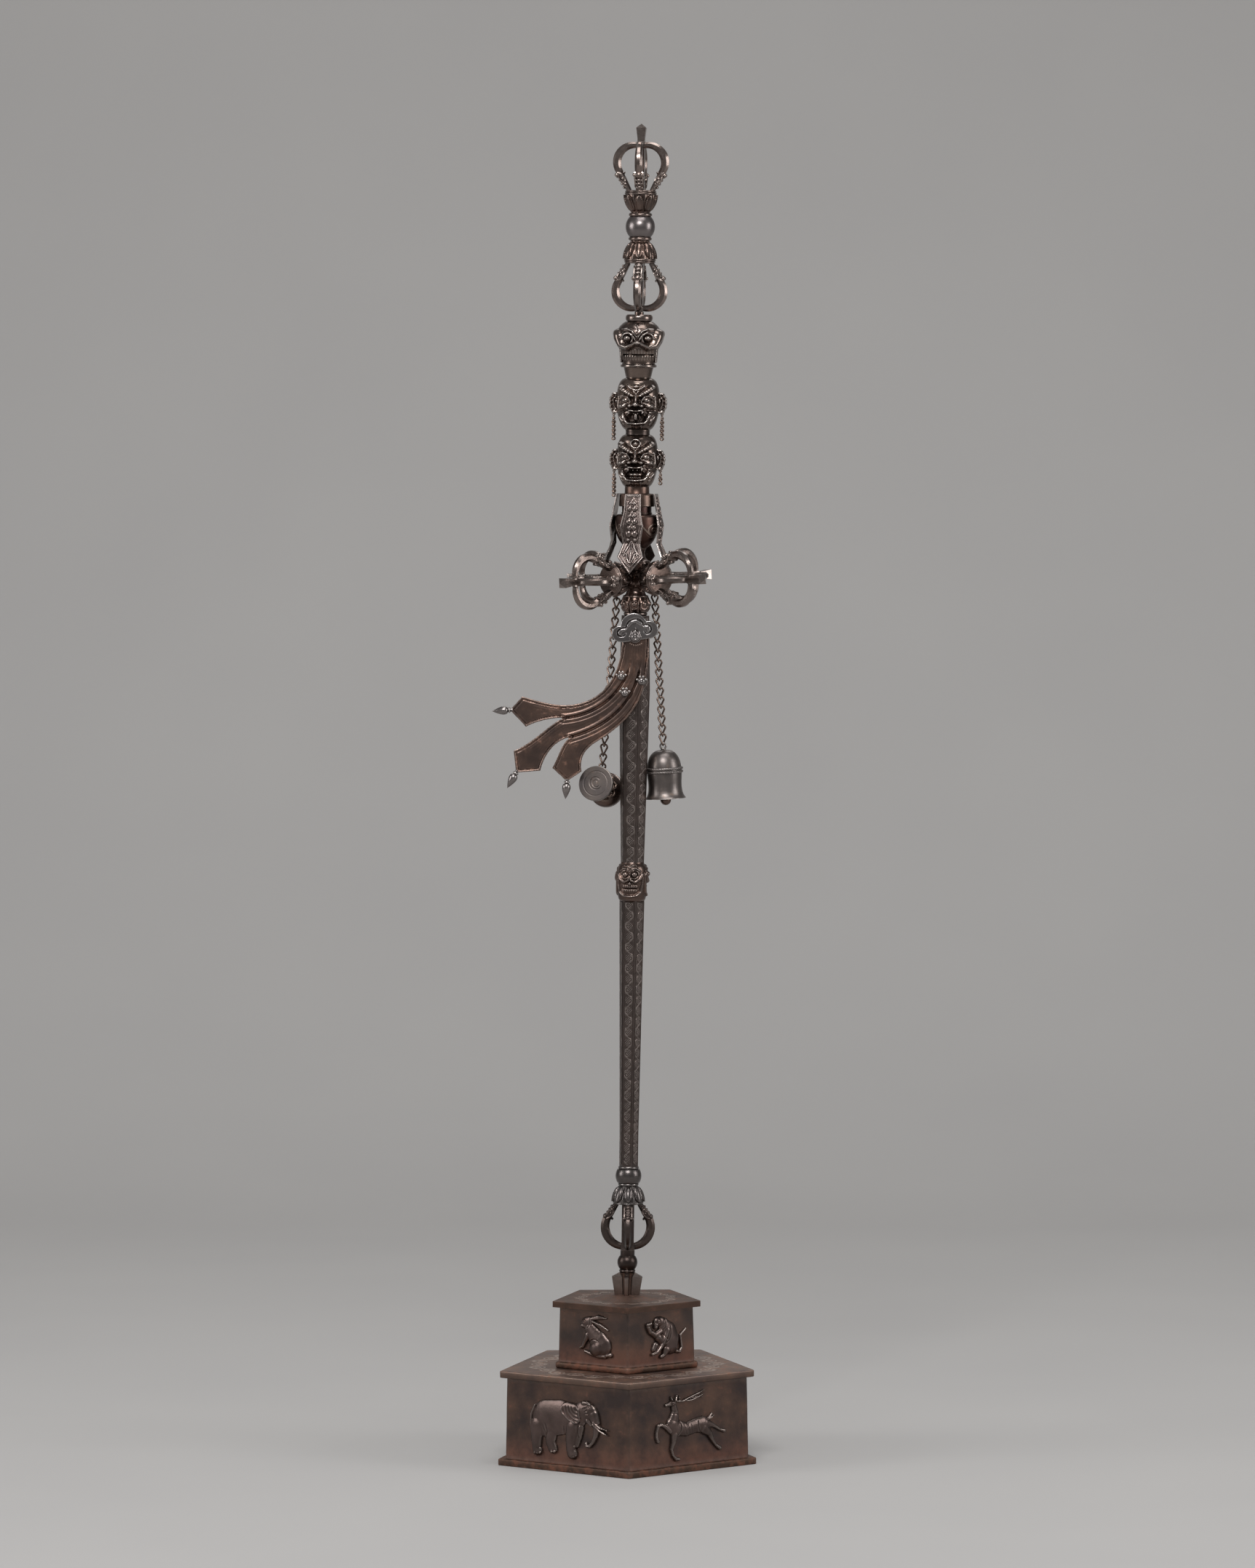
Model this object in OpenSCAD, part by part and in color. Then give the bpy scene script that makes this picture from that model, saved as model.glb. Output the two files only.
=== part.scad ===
// Iron ritual staff on a two-tier five-sided stand.
// Millimetres, +Z up, the viewer's side is -Y, origin at the middle of the stand's underside.

/* [Stand] */
// Corner radius of the lower foot plate
lower_foot_r = 140.7; // [136:0.1:150]
// Thickness of the lower foot plate
lower_foot_h = 7; // [5:0.5:10]
// Corner radius of the lower wall at its foot
lower_wall_r = 132; // [126:0.5:134]
// Height of the lower wall
lower_wall_h = 83.8; // [80:0.1:110]
// Corner radius of the lower top plate
lower_top_r = 138.5; // [134:0.5:146]
// Thickness of the lower top plate
lower_top_h = 7.3; // [5:0.1:10]
// Corner radius of the upper foot plate
upper_foot_r = 78.2; // [76:0.1:84]
// Thickness of the upper foot plate
upper_foot_h = 7; // [5:0.5:10]
// Corner radius of the upper wall at its foot
upper_wall_r = 74.2; // [70:0.1:75]
// Height of the upper wall
upper_wall_h = 56.6; // [54:0.1:75]
// Corner radius of the upper top plate
upper_top_r = 80.4; // [77:0.1:88]
// Thickness of the upper top plate
upper_top_h = 6.1; // [5:0.1:9]
// Corner radius that a wall loses from its foot to its top
wall_lean = 1.5; // [0.5:0.1:3]
// Thickness of the wall panels
wall_t = 5; // [3:0.5:8]
// Radius of the raised boss round the slot
boss_r = 34; // [28:1:40]
// Height of the raised boss
boss_h = 4; // [2:0.5:6]
// How far the animals stand out of the walls
relief_t = 3.2; // [2:0.1:5]
// Turn of the stand to the staff
stand_turn = 1.2; // [0:0.1:10]
// Lean of the staff in its socket, to the viewer's right
staff_lean = 0.81; // [0:0.01:0.9]

/* [Point and socket] */
// Half width of the fins at their shoulder
fin_half_w = 15.9; // [14:0.1:18]
// Thickness of a fin
fin_t = 4.4; // [3:0.1:6]
// Length from the fins' shoulder to the point
point_len = 95; // [85:1:110]
// Height of the shoulder above the stand
shoulder_up = 21.9; // [18:0.1:30]
// Height of the slope above the shoulder
shoulder_h = 4.8; // [3:0.1:8]
// Radius of the round core between the fins, at the shoulder
fin_core_r = 6; // [4:0.1:7]
// Wall of the tapered socket
socket_wall = 4; // [3:0.5:6]
// Thickness under the point in the socket
socket_floor = 6; // [4:0.5:10]
// Turn of the fins to the viewer's left
fin_turn = 3; // [0:1:20]

/* [Fits] */
// Gap between pieces that move on each other
fit_gap = 0.3; // [0.2:0.05:0.5]
// Gap round the core rod and the eye shanks
rod_gap = 0.05; // [0.02:0.01:0.1]

/* [Lower end] */
// Radius of the ring over the fins
collar_r = 8.4; // [7.5:0.1:10]
// Height of the ring over the fins
collar_h = 3.5; // [2:0.1:5]
// Radius of the bulb
bulb_r = 10.4; // [9:0.1:13]
// Height of the bulb
bulb_h = 14; // [12:0.1:17]
// Radius of the neck over the bulb
bulb_neck_r = 7.4; // [6:0.1:8]
// Height of the neck over the bulb
bulb_neck_h = 5.6; // [4:0.1:9]
// Height of the lower crown
low_crown_h = 48.6; // [44:0.1:54]
// Height of the lower crown's widest place, from its lotus
low_belly = 25.1; // [22:0.1:28]
// Reach of the lower crown
low_reach = 28.1; // [26:0.1:30]
// Height of the lower lotus
low_lotus_h = 16.4; // [14:0.1:20]
// Height of the lower lotus's rim
low_rim_h = 2.2; // [1.5:0.1:4]
// Radius of the ball under the shaft
low_ball_r = 13.4; // [12:0.1:16]
// Height of the ball under the shaft
low_ball_h = 14; // [12:0.1:16]
// Radius of the rings beside the ball
low_ring_r = 10.7; // [9.5:0.1:12]
// Height of the rings beside the ball
low_ring_h = 3.4; // [2:0.1:5]

/* [Vajra] */
// Height of a crown from its lotus to the closing of the prongs
crown_h = 50.6; // [46:0.1:55]
// Height of the crown's widest place
crown_belly = 30; // [27:0.5:33]
// Reach of the crown from its axis
crown_reach = 28.9; // [27:0.1:32]
// Radial depth of a prong at the widest place
prong_depth = 8.2; // [6:0.1:9.5]
// Width of a prong across
prong_w = 8.2; // [6:0.1:9]
// Depth of a prong where the crown closes
prong_tip = 5.5; // [4.5:0.1:6.5]
// Height from a prong's root to the crown's widest place
prong_root = 11; // [9:0.5:12]
// Drop of a prong's inner curve under its outer one
prong_sink = 2; // [1:0.1:3]
// Distance of a prong's foot from the axis
prong_foot = 8; // [7:0.1:9]
// Radius of the knob on a prong's back
prong_knob_r = 3.3; // [2.5:0.1:4]
// Length of the square spike beyond the crown
spike_len = 18; // [14:0.1:22]
// Half width of the spike's foot
spike_foot = 3.7; // [3:0.1:4.5]
// Half width of the spike's head
spike_head = 4.8; // [4:0.1:6]
// Height of a lotus
lotus_h = 18.5; // [16:0.1:22]
// Radius of a lotus at its narrow end
lotus_neck_r = 10.7; // [9:0.1:11.5]
// Radius of a lotus at its wide end
lotus_r = 16.8; // [15:0.1:18]
// Radius of a lotus rim
rim_r = 16.5; // [15:0.1:18]
// Height of a lotus rim
rim_h = 4.2; // [3:0.1:6]

/* [Shaft] */
// Length of the lower shaft
low_shaft_len = 276.2; // [240:0.1:320]
// Corner radius of the lower shaft at its foot
low_shaft_r = 9.9; // [9:0.1:11]
// Corner radius of the lower shaft under the skull knob
mid_shaft_r = 13.1; // [12:0.1:14]
// Height of the skull knob
knob_h = 37.8; // [34:0.1:42]
// Radius of the skull knob
knob_r = 15.2; // [14.5:0.1:17]
// Length of the upper shaft
up_shaft_len = 256.7; // [250:0.1:290]
// Corner radius of the upper shaft over the skull knob
up_shaft_r = 12.2; // [11.5:0.1:13]
// Corner radius of the upper shaft where it swells most
swell_r = 16.2; // [15:0.1:17]
// Height of the swelling over the skull knob
swell_z = 180; // [160:1:200]
// Corner radius of the shaft's top
top_shaft_r = 14.6; // [13:0.1:15.5]
// Turn of the shaft's faces to the viewer's left
shaft_turn = 12; // [0:1:29]

/* [Crossing] */
// Radius of the ring on top of the shaft
neck_ring_r = 12.3; // [11:0.1:14]
// Height of the ring on top of the shaft
neck_ring_h = 3.8; // [2:0.1:5]
// Radius of the petalled ball
neck_ball_r = 15.1; // [13.5:0.1:16]
// Height of the petalled ball
neck_ball_h = 16; // [13:0.1:20]
// Height of the shoulder over the petalled ball
neck_shoulder_h = 5; // [3:0.1:8]
// Height of the crossing's middle over that shoulder
cross_up = 13.1; // [12:0.1:18]
// Distance from the staff's axis to the arms' lotus
arm_start = 14; // [12.5:0.1:16]
// Radius of the hub's stubs
stub_r = 10; // [8:0.1:10.5]
// Height of the hub over the crossing's middle
hub_top = 16.1; // [13:0.1:20]
// Radius of the core rod
core_r = 4; // [3:0.1:5]

/* [Vase and canopy] */
// Height of the flared foot under the vase
baluster_h = 15.6; // [12:0.1:20]
// Radius of the flared foot
baluster_r = 14.5; // [12:0.1:16]
// Radius of the vase's foot
vase_foot_r = 10.5; // [9:0.1:12]
// Greatest radius of the vase
vase_r = 22.3; // [20:0.1:24]
// Height of the vase
vase_h = 34.9; // [30:0.1:40]
// Radius of the vase's neck
vase_neck_r = 15.2; // [13:0.1:17]
// Height of the vase's neck
vase_neck_h = 8; // [5:0.1:12]
// Radius of the canopy collar
canopy_r = 18.5; // [17.5:0.1:20]
// Height of the canopy collar
canopy_h = 13.3; // [10:0.1:17]
// Thickness of a lappet
lappet_t = 2; // [1.5:0.1:3]
// Length of a lappet below the collar's top
lappet_len = 82.3; // [76:0.1:90]
// Width of a lappet at the collar
lappet_top_w = 16.8; // [15:0.1:18]
// Width of a lappet at its upper point
lappet_mid_w = 24.5; // [22:0.1:27]
// Width of a lappet at its shield
lappet_low_w = 27.5; // [25:0.1:30]

/* [Heads] */
// Radius of the necks
neck_r = 12.8; // [12:0.1:15]
// Height of the neck under the lower head
low_neck_h = 7.2; // [5:0.1:10]
// Height of a wrathful head
head_h = 53.6; // [50:0.1:58]
// Radius of the upper head
up_head_r = 22.3; // [20:0.1:24]
// Radius of the lower head
low_head_r = 21.3; // [19:0.1:23]
// Reach of the ears beyond the head
ear_reach = 7.3; // [5:0.1:9]
// Height of the neck between the heads
mid_neck_h = 4.7; // [3:0.1:8]
// Height of the funnel neck under the skull
funnel_h = 10.7; // [8:0.1:14]
// Height of the dry skull
skull_h = 47; // [43:0.1:52]
// Radius of the dry skull
skull_r = 22.8; // [21:0.1:25]
// Reach of the dry skull's cheeks
cheek_reach = 26.5; // [25:0.1:28]
// Radius of the cap ring
cap_r = 14; // [12:0.1:16]
// Height of the cap ring
cap_h = 7.4; // [5:0.1:10]
// Turn of the heads to the viewer's left
head_turn = 6; // [0:1:12]
// Turn of the skull knob to the viewer's left
knob_turn = 10; // [0:1:20]

/* [Finial] */
// Height of the stem between the cap and the crown
stem_h = 2.4; // [1:0.1:5]
// Radius of the globe
globe_r = 15.1; // [13.5:0.1:17]
// Height of the globe
globe_h = 20.9; // [18:0.1:24]
// Radius of the rings beside the globe
globe_ring_r = 12; // [11:0.1:13]
// Height of the rings beside the globe
globe_ring_h = 3.8; // [2:0.1:5]

/* [Ribbon] */
// Thickness of the ribbon
ribbon_t = 3; // [2:0.1:4]
// Depth of the ribbon's channels
channel_depth = 0.9; // [0.5:0.1:1.4]
// Length of a drop finial
drop_len = 18.6; // [15:0.1:22]
// Radius of a drop finial
drop_r = 4.5; // [3.5:0.1:5.5]
// Thickness of the cloud plaque
plaque_t = 2.6; // [2:0.1:4]
// Radius of the shanks of the rivets
shank_r = 2.2; // [1.5:0.1:3]

/* [Chains] */
// Thickness of the chain's wire
wire_d = 2; // [1.6:0.1:2.2]
// Width of a link
link_w = 8.8; // [8:0.1:9.4]
// Spacing of the links
link_pitch = 7; // [6.8:0.1:7.6]
// Running gap between links
link_gap = 0.25; // [0.2:0.05:0.35]
// Number of links down to the bell
bell_links = 22; // [18:2:24]
// Number of links down to the drum
drum_links = 26; // [24:2:28]
// Number of links round the drum's waist
wrap_links = 10; // [10:2:12]
// Distance of a chain eye from the staff's axis
eye_x = 19.6; // [19:0.1:24]
// Distance of the chain eyes behind the staff's axis
eye_y = 6; // [5:0.1:6.5]
// How much longer the drum's eye is than the bell's
eye_extra = 4; // [0:0.1:5]

/* [Bell and drum] */
// Height of the bell from its lip to its crown
bell_h = 50.4; // [46:0.1:56]
// Radius of the bell's lip
bell_lip_r = 20.8; // [19:0.1:23]
// Radius of the bell's waist
bell_waist_r = 17.2; // [15.5:0.1:18]
// Radius of the bell's double ring
bell_ring_r = 19.3; // [18:0.1:20]
// Wall of the bell
bell_wall = 2.2; // [1.6:0.1:3]
// Lean of the bell away from the shaft
bell_tilt = 3.5; // [2:0.1:4]
// Radius of the clapper's drop
clapper_r = 5.6; // [4:0.1:7]
// How far the clapper hangs below the lip
clapper_down = 7; // [5:0.1:12]
// Radius of the drum's faces
drum_r = 18.3; // [17:0.1:19]
// Length of the drum
drum_len = 42; // [38:0.1:46]
// Thickness of a drum face
drum_face_t = 2; // [1.5:0.1:3]
// Distance of the drum from the staff's axis
drum_x = 33; // [31:0.1:36]
// Turn of the drum to the viewer's left
drum_turn = 17; // [10:0.1:20]
// Upward tilt of the drum's front face
drum_tilt = 13; // [8:0.1:14]

/* [Ear chains] */
// Thickness of the ear chains' wire
ear_wire_d = 1; // [0.8:0.05:1.2]
// Width of an ear chain's link
ear_link_w = 3.8; // [3.6:0.1:4.4]
// Spacing of an ear chain's links
ear_pitch = 4.2; // [3.8:0.1:5]
// Running gap between links of an ear chain
ear_gap = 0.2; // [0.15:0.05:0.3]
// Number of links in a long ear chain
ear_links = 6; // [4:1:7]

/* [Hidden] */
$fn = 48;
iron = [0.22, 0.17, 0.15];
steel = [0.36, 0.34, 0.33];
rust = [0.34, 0.21, 0.17];
copper = [0.45, 0.27, 0.2];

// Walls the animals are drawn for, corner radius and height
drawn_low = [132, 83.8];
drawn_up = [74.2, 56.6];

// Heights of the stack, from the floor up
lower_wall_z = lower_foot_h;
lower_top_z = lower_wall_z + lower_wall_h;
upper_foot_z = lower_top_z + lower_top_h;
upper_wall_z = upper_foot_z + upper_foot_h;
upper_top_z = upper_wall_z + upper_wall_h;
stand_top = upper_top_z + upper_top_h;
shoulder_z = stand_top + shoulder_up;
tip_z = shoulder_z - point_len;
collar_z = shoulder_z + shoulder_h;
bulb_z = collar_z + collar_h;
low_crown_z = bulb_z + bulb_h + bulb_neck_h;
low_rim_z = low_crown_z + low_crown_h;
low_lotus_top = low_rim_z + low_rim_h + low_lotus_h;
low_ball_z = low_lotus_top + low_ring_h;
low_shaft_z = low_ball_z + low_ball_h + low_ring_h;
knob_z = low_shaft_z + low_shaft_len;
up_shaft_z = knob_z + knob_h;
neck_ring_z = up_shaft_z + up_shaft_len;
neck_ball_z = neck_ring_z + neck_ring_h;
neck_top_z = neck_ball_z + neck_ball_h + neck_shoulder_h;
cross_z = neck_top_z + cross_up;
baluster_z = cross_z + hub_top;
vase_z = baluster_z + baluster_h;
vase_neck_z = vase_z + vase_h;
canopy_z = vase_neck_z + vase_neck_h;
low_neck_z = canopy_z + canopy_h;
low_head_z = low_neck_z + low_neck_h;
mid_neck_z = low_head_z + head_h;
up_head_z = mid_neck_z + mid_neck_h;
funnel_z = up_head_z + head_h;
skull_z = funnel_z + funnel_h;
cap_z = skull_z + skull_h;
stem_z = cap_z + cap_h;
fin_crown_z = stem_z + stem_h;
grip_z = fin_crown_z + crown_h;
grip_h = 2 * (lotus_h + rim_h + globe_ring_h) + globe_h;
top_crown_z = grip_z + grip_h;

// Plan and face geometry of the stand
SIDES = 5;
half_side = 180 / SIDES;
elephant_faces = [-36, 108, 252];
deer_faces = [36, 180];

// The shaft's corner radius at a height, and where its right-hand corner lies
function shaft_r_at(z) = lookup(z, [
    [low_shaft_z, low_shaft_r], [knob_z, mid_shaft_r], [up_shaft_z, up_shaft_r],
    [up_shaft_z + swell_z, swell_r], [neck_ring_z, top_shaft_r]]);
function shaft_corner(z) = shaft_r_at(z) * [cos(-shaft_turn), sin(-shaft_turn)];

// A smooth curve between four guide points, in n steps
function curve(p, n = 8) = [for (i = [0:n]) let (t = i / n, s = 1 - t)
    s * s * s * p[0] + 3 * s * s * t * p[1] + 3 * s * t * t * p[2] + t * t * t * p[3]];

// Chain geometry: bend radius and straight of a link
bend_r = (link_w - wire_d) / 2;
link_straight = link_pitch + wire_d + link_gap - 2 * bend_r;
link_half = link_straight / 2 + bend_r;
hook = wire_d + link_gap;
eye_z = neck_ball_z + neck_ball_h - 0.4;
eye_ring_r = bend_r;

// Bell: its lip and its ring just clear the shaft's corner, and its chain slants to its loop
loop_r = 2.9;
bell_ring_up = 29;
bell_drop = 2 * loop_r + wire_d / 2 + bell_h - hook;
bell_chain_len = bell_links * link_pitch;
bell_lip_z = eye_z - bell_chain_len - bell_drop;
function clear_x(z, r) = let (c = shaft_corner(z))
    c.x + sqrt(pow(r + 2 * fit_gap, 2) - pow(eye_y - c.y, 2));
bell_lip_x = max(clear_x(bell_lip_z, bell_lip_r),
    clear_x(bell_lip_z + bell_ring_up, bell_ring_r) + sin(bell_tilt) * bell_ring_up);
bell_hang_x = bell_lip_x - sin(bell_tilt) * bell_drop;
bell_slant = asin((bell_hang_x - eye_x) / bell_chain_len);
bell_hang_z = eye_z - bell_chain_len * cos(bell_slant);

// Drum: it hangs under the last link, whose bend runs in the top link of its winding
wrap_r = (2 * link_half * cos(180 / wrap_links) - hook) / (2 * sin(180 / wrap_links));
drum_waist_r = wrap_r - link_w / 2 - fit_gap;
drum_eye_z = eye_z - eye_extra;
drum_chain_len = drum_links * link_pitch;
drum_slant = asin((drum_x - eye_x) / drum_chain_len);
drum_hang_z = drum_eye_z - drum_chain_len * cos(drum_slant);
drum_z = drum_hang_z + hook - wrap_r - bend_r;

// Ribbon: guide points in the plane of the plate, x from the axis and z from the rivet
rivet_z = neck_ring_z - 20.3;
plate_back = -(swell_r * cos(30 - shaft_turn) + fit_gap);
plate_front = plate_back - ribbon_t;
tail_tips = [[-128, -78], [-121, -142.5], [-68.6, -151]];
tail_turns = [95, 151, 176];
ribbon_edges = [
    [[-13, 4], [-12, -50], [-40, -72], [-72, -72.5]],
    [[-72, -72.5], [-88, -72.5], [-104, -67], [-115.7, -64]],
    [[-128, -78], [-128, -78], [-111.5, -95.2], [-111.5, -95.2]],
    [[-111.5, -95.2], [-103, -90], [-85, -85], [-72.8, -85.5]],
    [[-72.8, -85.5], [-88, -92], [-102, -111], [-123.8, -120.3]],
    [[-121, -142.5], [-121, -142.5], [-96.1, -140.3], [-96.1, -140.3]],
    [[-96.1, -140.3], [-92, -122], [-80, -108], [-65.7, -105.3]],
    [[-65.7, -105.3], [-75, -112], [-77, -125], [-83.8, -137.3]],
    [[-68.6, -151], [-68.6, -151], [-53.6, -140.7], [-53.6, -140.7]],
    [[-53.6, -140.7], [-57, -122], [-45, -114], [-38, -109.5]],
    [[-38, -109.5], [10, -80], [15, -50], [14.6, 4]]];
channel_lines = [
    [[-4, -20], [-5, -50], [-32, -82], [-70, -85]],
    [[6, -20], [6, -62], [-22, -93], [-62, -104]]];

// Stand

module pentagon(r, h) {
    rotate(stand_turn - 90) cylinder(r = r, h = h, $fn = SIDES);
}

module wall_panels(r, h) {
    inner = r - wall_t / cos(half_side);
    for (k = [0:SIDES - 1]) {
        a = stand_turn - 90 + k * 2 * half_side;
        b = a + 2 * half_side;
        linear_extrude(h, scale = (r - wall_lean) / r)
            polygon([r * [cos(a), sin(a)], r * [cos(b), sin(b)],
                inner * [cos(b), sin(b)], inner * [cos(a), sin(a)]]);
    }
}

// Puts a flat drawing on the outside of a wall: x along the wall, y up from its foot
module on_wall(face, r, h) {
    apothem = r * cos(half_side);
    lean = atan(wall_lean * cos(half_side) / h);
    rotate(stand_turn + face) translate([0, -apothem, 0]) rotate([90 - lean, 0, 0])
        linear_extrude(relief_t) children();
}

// Scales an animal drawn for a wall of the given [radius, height]
module to_size(r, h, drawn) {
    scale(min(r / drawn[0], h / drawn[1])) children();
}

// Points of an arc round c from angle a to angle b
function arc(c, r, a, b, n = 7) = [for (i = [0:n]) let (t = a + (b - a) * i / n)
    c + r * [cos(t), sin(t)]];

// A round-ended limb that tapers from radius ra at a to rb at b
module limb(a, b, ra, rb) {
    d = b - a;
    heading = atan2(d.y, d.x);
    swing = acos((ra - rb) / norm(d));
    polygon(concat(arc(b, rb, heading - swing, heading + swing),
        arc(a, ra, heading + swing, heading + 360 - swing)));
}

module elephant() {
    limb([-25, 47], [-8, 49], 19.5, 18.5);
    limb([-8, 49], [13, 52], 18.5, 14);
    limb([20, 56], [31, 56], 11.5, 8.5);
    limb([33, 54], [38, 38], 7.5, 3.6);
    limb([38, 38], [32, 24], 3.6, 2.4);
    limb([32, 24], [26, 21.5], 2.4, 1.8);
    limb([36, 46], [52, 36], 2.2, 0.9);
    limb([-35, 38], [-37, 16], 8, 5.5);
    limb([-22, 34], [-17.5, 18], 8, 5.5);
    limb([3, 36], [7, 17], 9, 6);
    limb([13, 40], [13, 25], 5, 4);
    limb([-40.5, 58], [-43.5, 34], 2.2, 1.4);
}

module deer() {
    limb([-21, 45], [-1, 41.5], 9.5, 8.5);
    limb([-1, 41.5], [16, 42.5], 8.5, 9.5);
    limb([-23, 48], [-18, 61], 7, 4);
    limb([-20.5, 65], [-28.5, 63.5], 4.6, 2.2);
    limb([-15, 66], [2, 71], 1.8, 1.8);
    limb([2, 71], [18.5, 75], 1.8, 1);
    limb([-1, 69.5], [16, 70], 1.6, 1);
    limb([-27, 42], [-40, 44.5], 3.4, 2.2);
    limb([-40, 44.5], [-42.5, 36], 2.2, 1.6);
    limb([-42.5, 36], [-40.5, 28], 1.6, 1.8);
    limb([-21, 36], [-25, 17], 4.5, 2.2);
    limb([-25, 17], [-18, 7], 2.2, 2.6);
    limb([19, 41], [31, 38], 4, 2.4);
    limb([31, 38], [43, 32.5], 2.4, 1.9);
    limb([17, 37], [28, 23], 5, 2.3);
    limb([28, 23], [38.5, 15.5], 2.3, 2.4);
    limb([22, 47], [31, 47.5], 2.4, 1);
}

module hare() {
    limb([3, 29], [10, 20], 11, 13);
    limb([-4, 42], [-4, 33], 6.5, 8);
    limb([-5, 44.5], [-11, 41], 5.5, 3);
    limb([-1, 47], [15, 50], 2.6, 3);
    limb([2, 43.5], [18, 37.5], 2.4, 2.6);
    limb([-5, 32], [-10, 18], 3.4, 2.4);
    limb([-10, 18], [-14.5, 16.5], 2.4, 2);
    limb([-4, 12], [14, 10], 3, 4);
    limb([18, 12], [22, 11], 3.4, 2.8);
}

module monkey() {
    limb([6, 35], [10, 22], 12, 11.5);
    limb([-3.5, 43], [4, 40], 6.8, 7);
    limb([0, 36], [-15, 33], 4, 2.8);
    limb([-15, 33], [-18, 40], 2.8, 3.4);
    limb([6, 28], [-6, 29], 6, 4.2);
    limb([-6, 29], [-10, 14], 4.2, 2.8);
    limb([-10, 14], [-15, 11], 2.8, 2.4);
    limb([12, 15], [1, 9.5], 5, 2.8);
    limb([12, 20], [-6, 14], 3, 2.2);
    limb([18, 14], [23, 11], 3, 2.4);
    limb([23, 11], [23.5, 26], 2.4, 1.7);
    limb([23.5, 26], [31, 34.5], 1.7, 1);
}

module lower_foot_plate() { color(rust) pentagon(lower_foot_r, lower_foot_h); }

module lower_wall_panels() {
    color(iron) translate([0, 0, lower_wall_z]) wall_panels(lower_wall_r, lower_wall_h);
}

module lower_top_plate() {
    color(rust) translate([0, 0, lower_top_z]) difference() {
        pentagon(lower_top_r, lower_top_h);
        translate([0, 0, -1]) cylinder(r = socket_r + rod_gap, h = lower_top_h + 2);
    }
}

module upper_foot_plate() {
    color(rust) translate([0, 0, upper_foot_z]) difference() {
        pentagon(upper_foot_r, upper_foot_h);
        translate([0, 0, -1]) cylinder(r = socket_r + rod_gap, h = upper_foot_h + 2);
    }
}

module upper_wall_panels() {
    color(iron) translate([0, 0, upper_wall_z]) wall_panels(upper_wall_r, upper_wall_h);
}

// Radius of the fins, of their core and of the socket at a height
function fins_r(z) = fin_half_w * (z - tip_z) / point_len;
function fins_core(z) = fin_core_r * (z - tip_z) / point_len;
socket_r = fins_r(upper_top_z) + fit_gap + socket_wall;

module upper_top_plate() {
    boss_top = stand_top + boss_h;
    slot = 2 * (fins_r(boss_top) + fit_gap);
    color(rust) difference() {
        union() {
            translate([0, 0, upper_top_z]) pentagon(upper_top_r, upper_top_h);
            translate([0, 0, stand_top])
                cylinder(r1 = boss_r, r2 = fins_r(boss_top) + socket_wall, h = boss_h);
        }
        leaning() {
            for (a = [0, 90]) rotate(a - fin_turn)
                translate([-slot / 2, -fin_t / 2 - fit_gap, upper_top_z - 1])
                    cube([slot, fin_t + 2 * fit_gap, upper_top_h + boss_h + 2]);
            translate([0, 0, upper_top_z - 1])
                cylinder(r = fins_core(boss_top) + fit_gap, h = upper_top_h + boss_h + 2);
        }
    }
}

module staff_socket() {
    bottom = tip_z - socket_floor;
    color(iron) difference() {
        translate([0, 0, bottom]) cylinder(r = socket_r, h = upper_top_z - bottom);
        leaning() translate([0, 0, tip_z]) cylinder(r1 = fin_t / 2 + 2 * fit_gap,
            r2 = norm([fins_r(upper_top_z + 2), fin_t / 2]) + fit_gap,
            h = upper_top_z + 2 - tip_z);
    }
}

module elephant_reliefs() {
    color(iron) translate([0, 0, lower_wall_z]) for (f = elephant_faces)
        on_wall(f, lower_wall_r, lower_wall_h) to_size(lower_wall_r, lower_wall_h, drawn_low)
            elephant();
}

module deer_reliefs() {
    color(iron) translate([0, 0, lower_wall_z]) for (f = deer_faces)
        on_wall(f, lower_wall_r, lower_wall_h) to_size(lower_wall_r, lower_wall_h, drawn_low)
            deer();
}

module hare_reliefs() {
    color(iron) translate([0, 0, upper_wall_z]) for (f = elephant_faces)
        on_wall(f, upper_wall_r, upper_wall_h) to_size(upper_wall_r, upper_wall_h, drawn_up)
            hare();
}

module monkey_reliefs() {
    color(iron) translate([0, 0, upper_wall_z]) for (f = deer_faces)
        on_wall(f, upper_wall_r, upper_wall_h) to_size(upper_wall_r, upper_wall_h, drawn_up)
            monkey();
}

// Leans a piece of the staff about the middle of the socket
module leaning() {
    pivot = (tip_z + upper_wall_z) / 2;
    translate([0, 0, pivot]) rotate([0, staff_lean, 0]) translate([0, 0, -pivot]) children();
}

// Vajra parts: all stand on z = 0 and point up

// A ball cut flat at both ends
module flat_ball(r, h) {
    intersection() {
        translate([0, 0, h / 2]) sphere(r);
        cylinder(r = r + 1, h = h);
    }
}

// A ring with a rounded outer edge
module bead(r, h) {
    cylinder(r = r - h / 2, h = h);
    translate([0, 0, h / 2]) rotate_extrude() translate([r - h / 2, 0]) circle(h / 2);
}

// Eight-lobed lotus that widens upward to its rim
module lotus(h, neck, wide, rim, rim_height) {
    bowl = 24;
    lobe_r = wide * 0.42;
    intersection() {
        rotate_extrude() intersection() {
            square([wide, h]);
            union() {
                translate([wide - bowl, h]) circle(bowl);
                square([neck - 1, h]);
            }
        }
        linear_extrude(h) for (k = [0:7]) rotate(k * 45) {
            translate([wide - lobe_r, 0]) circle(lobe_r);
            circle(wide - lobe_r / 2);
        }
    }
    translate([0, 0, h]) difference() {
        bead(rim, rim_height);
        translate([0, 0, rim_height - 0.6]) cylinder(r = rim - 3, h = 1);
    }
}

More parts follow.
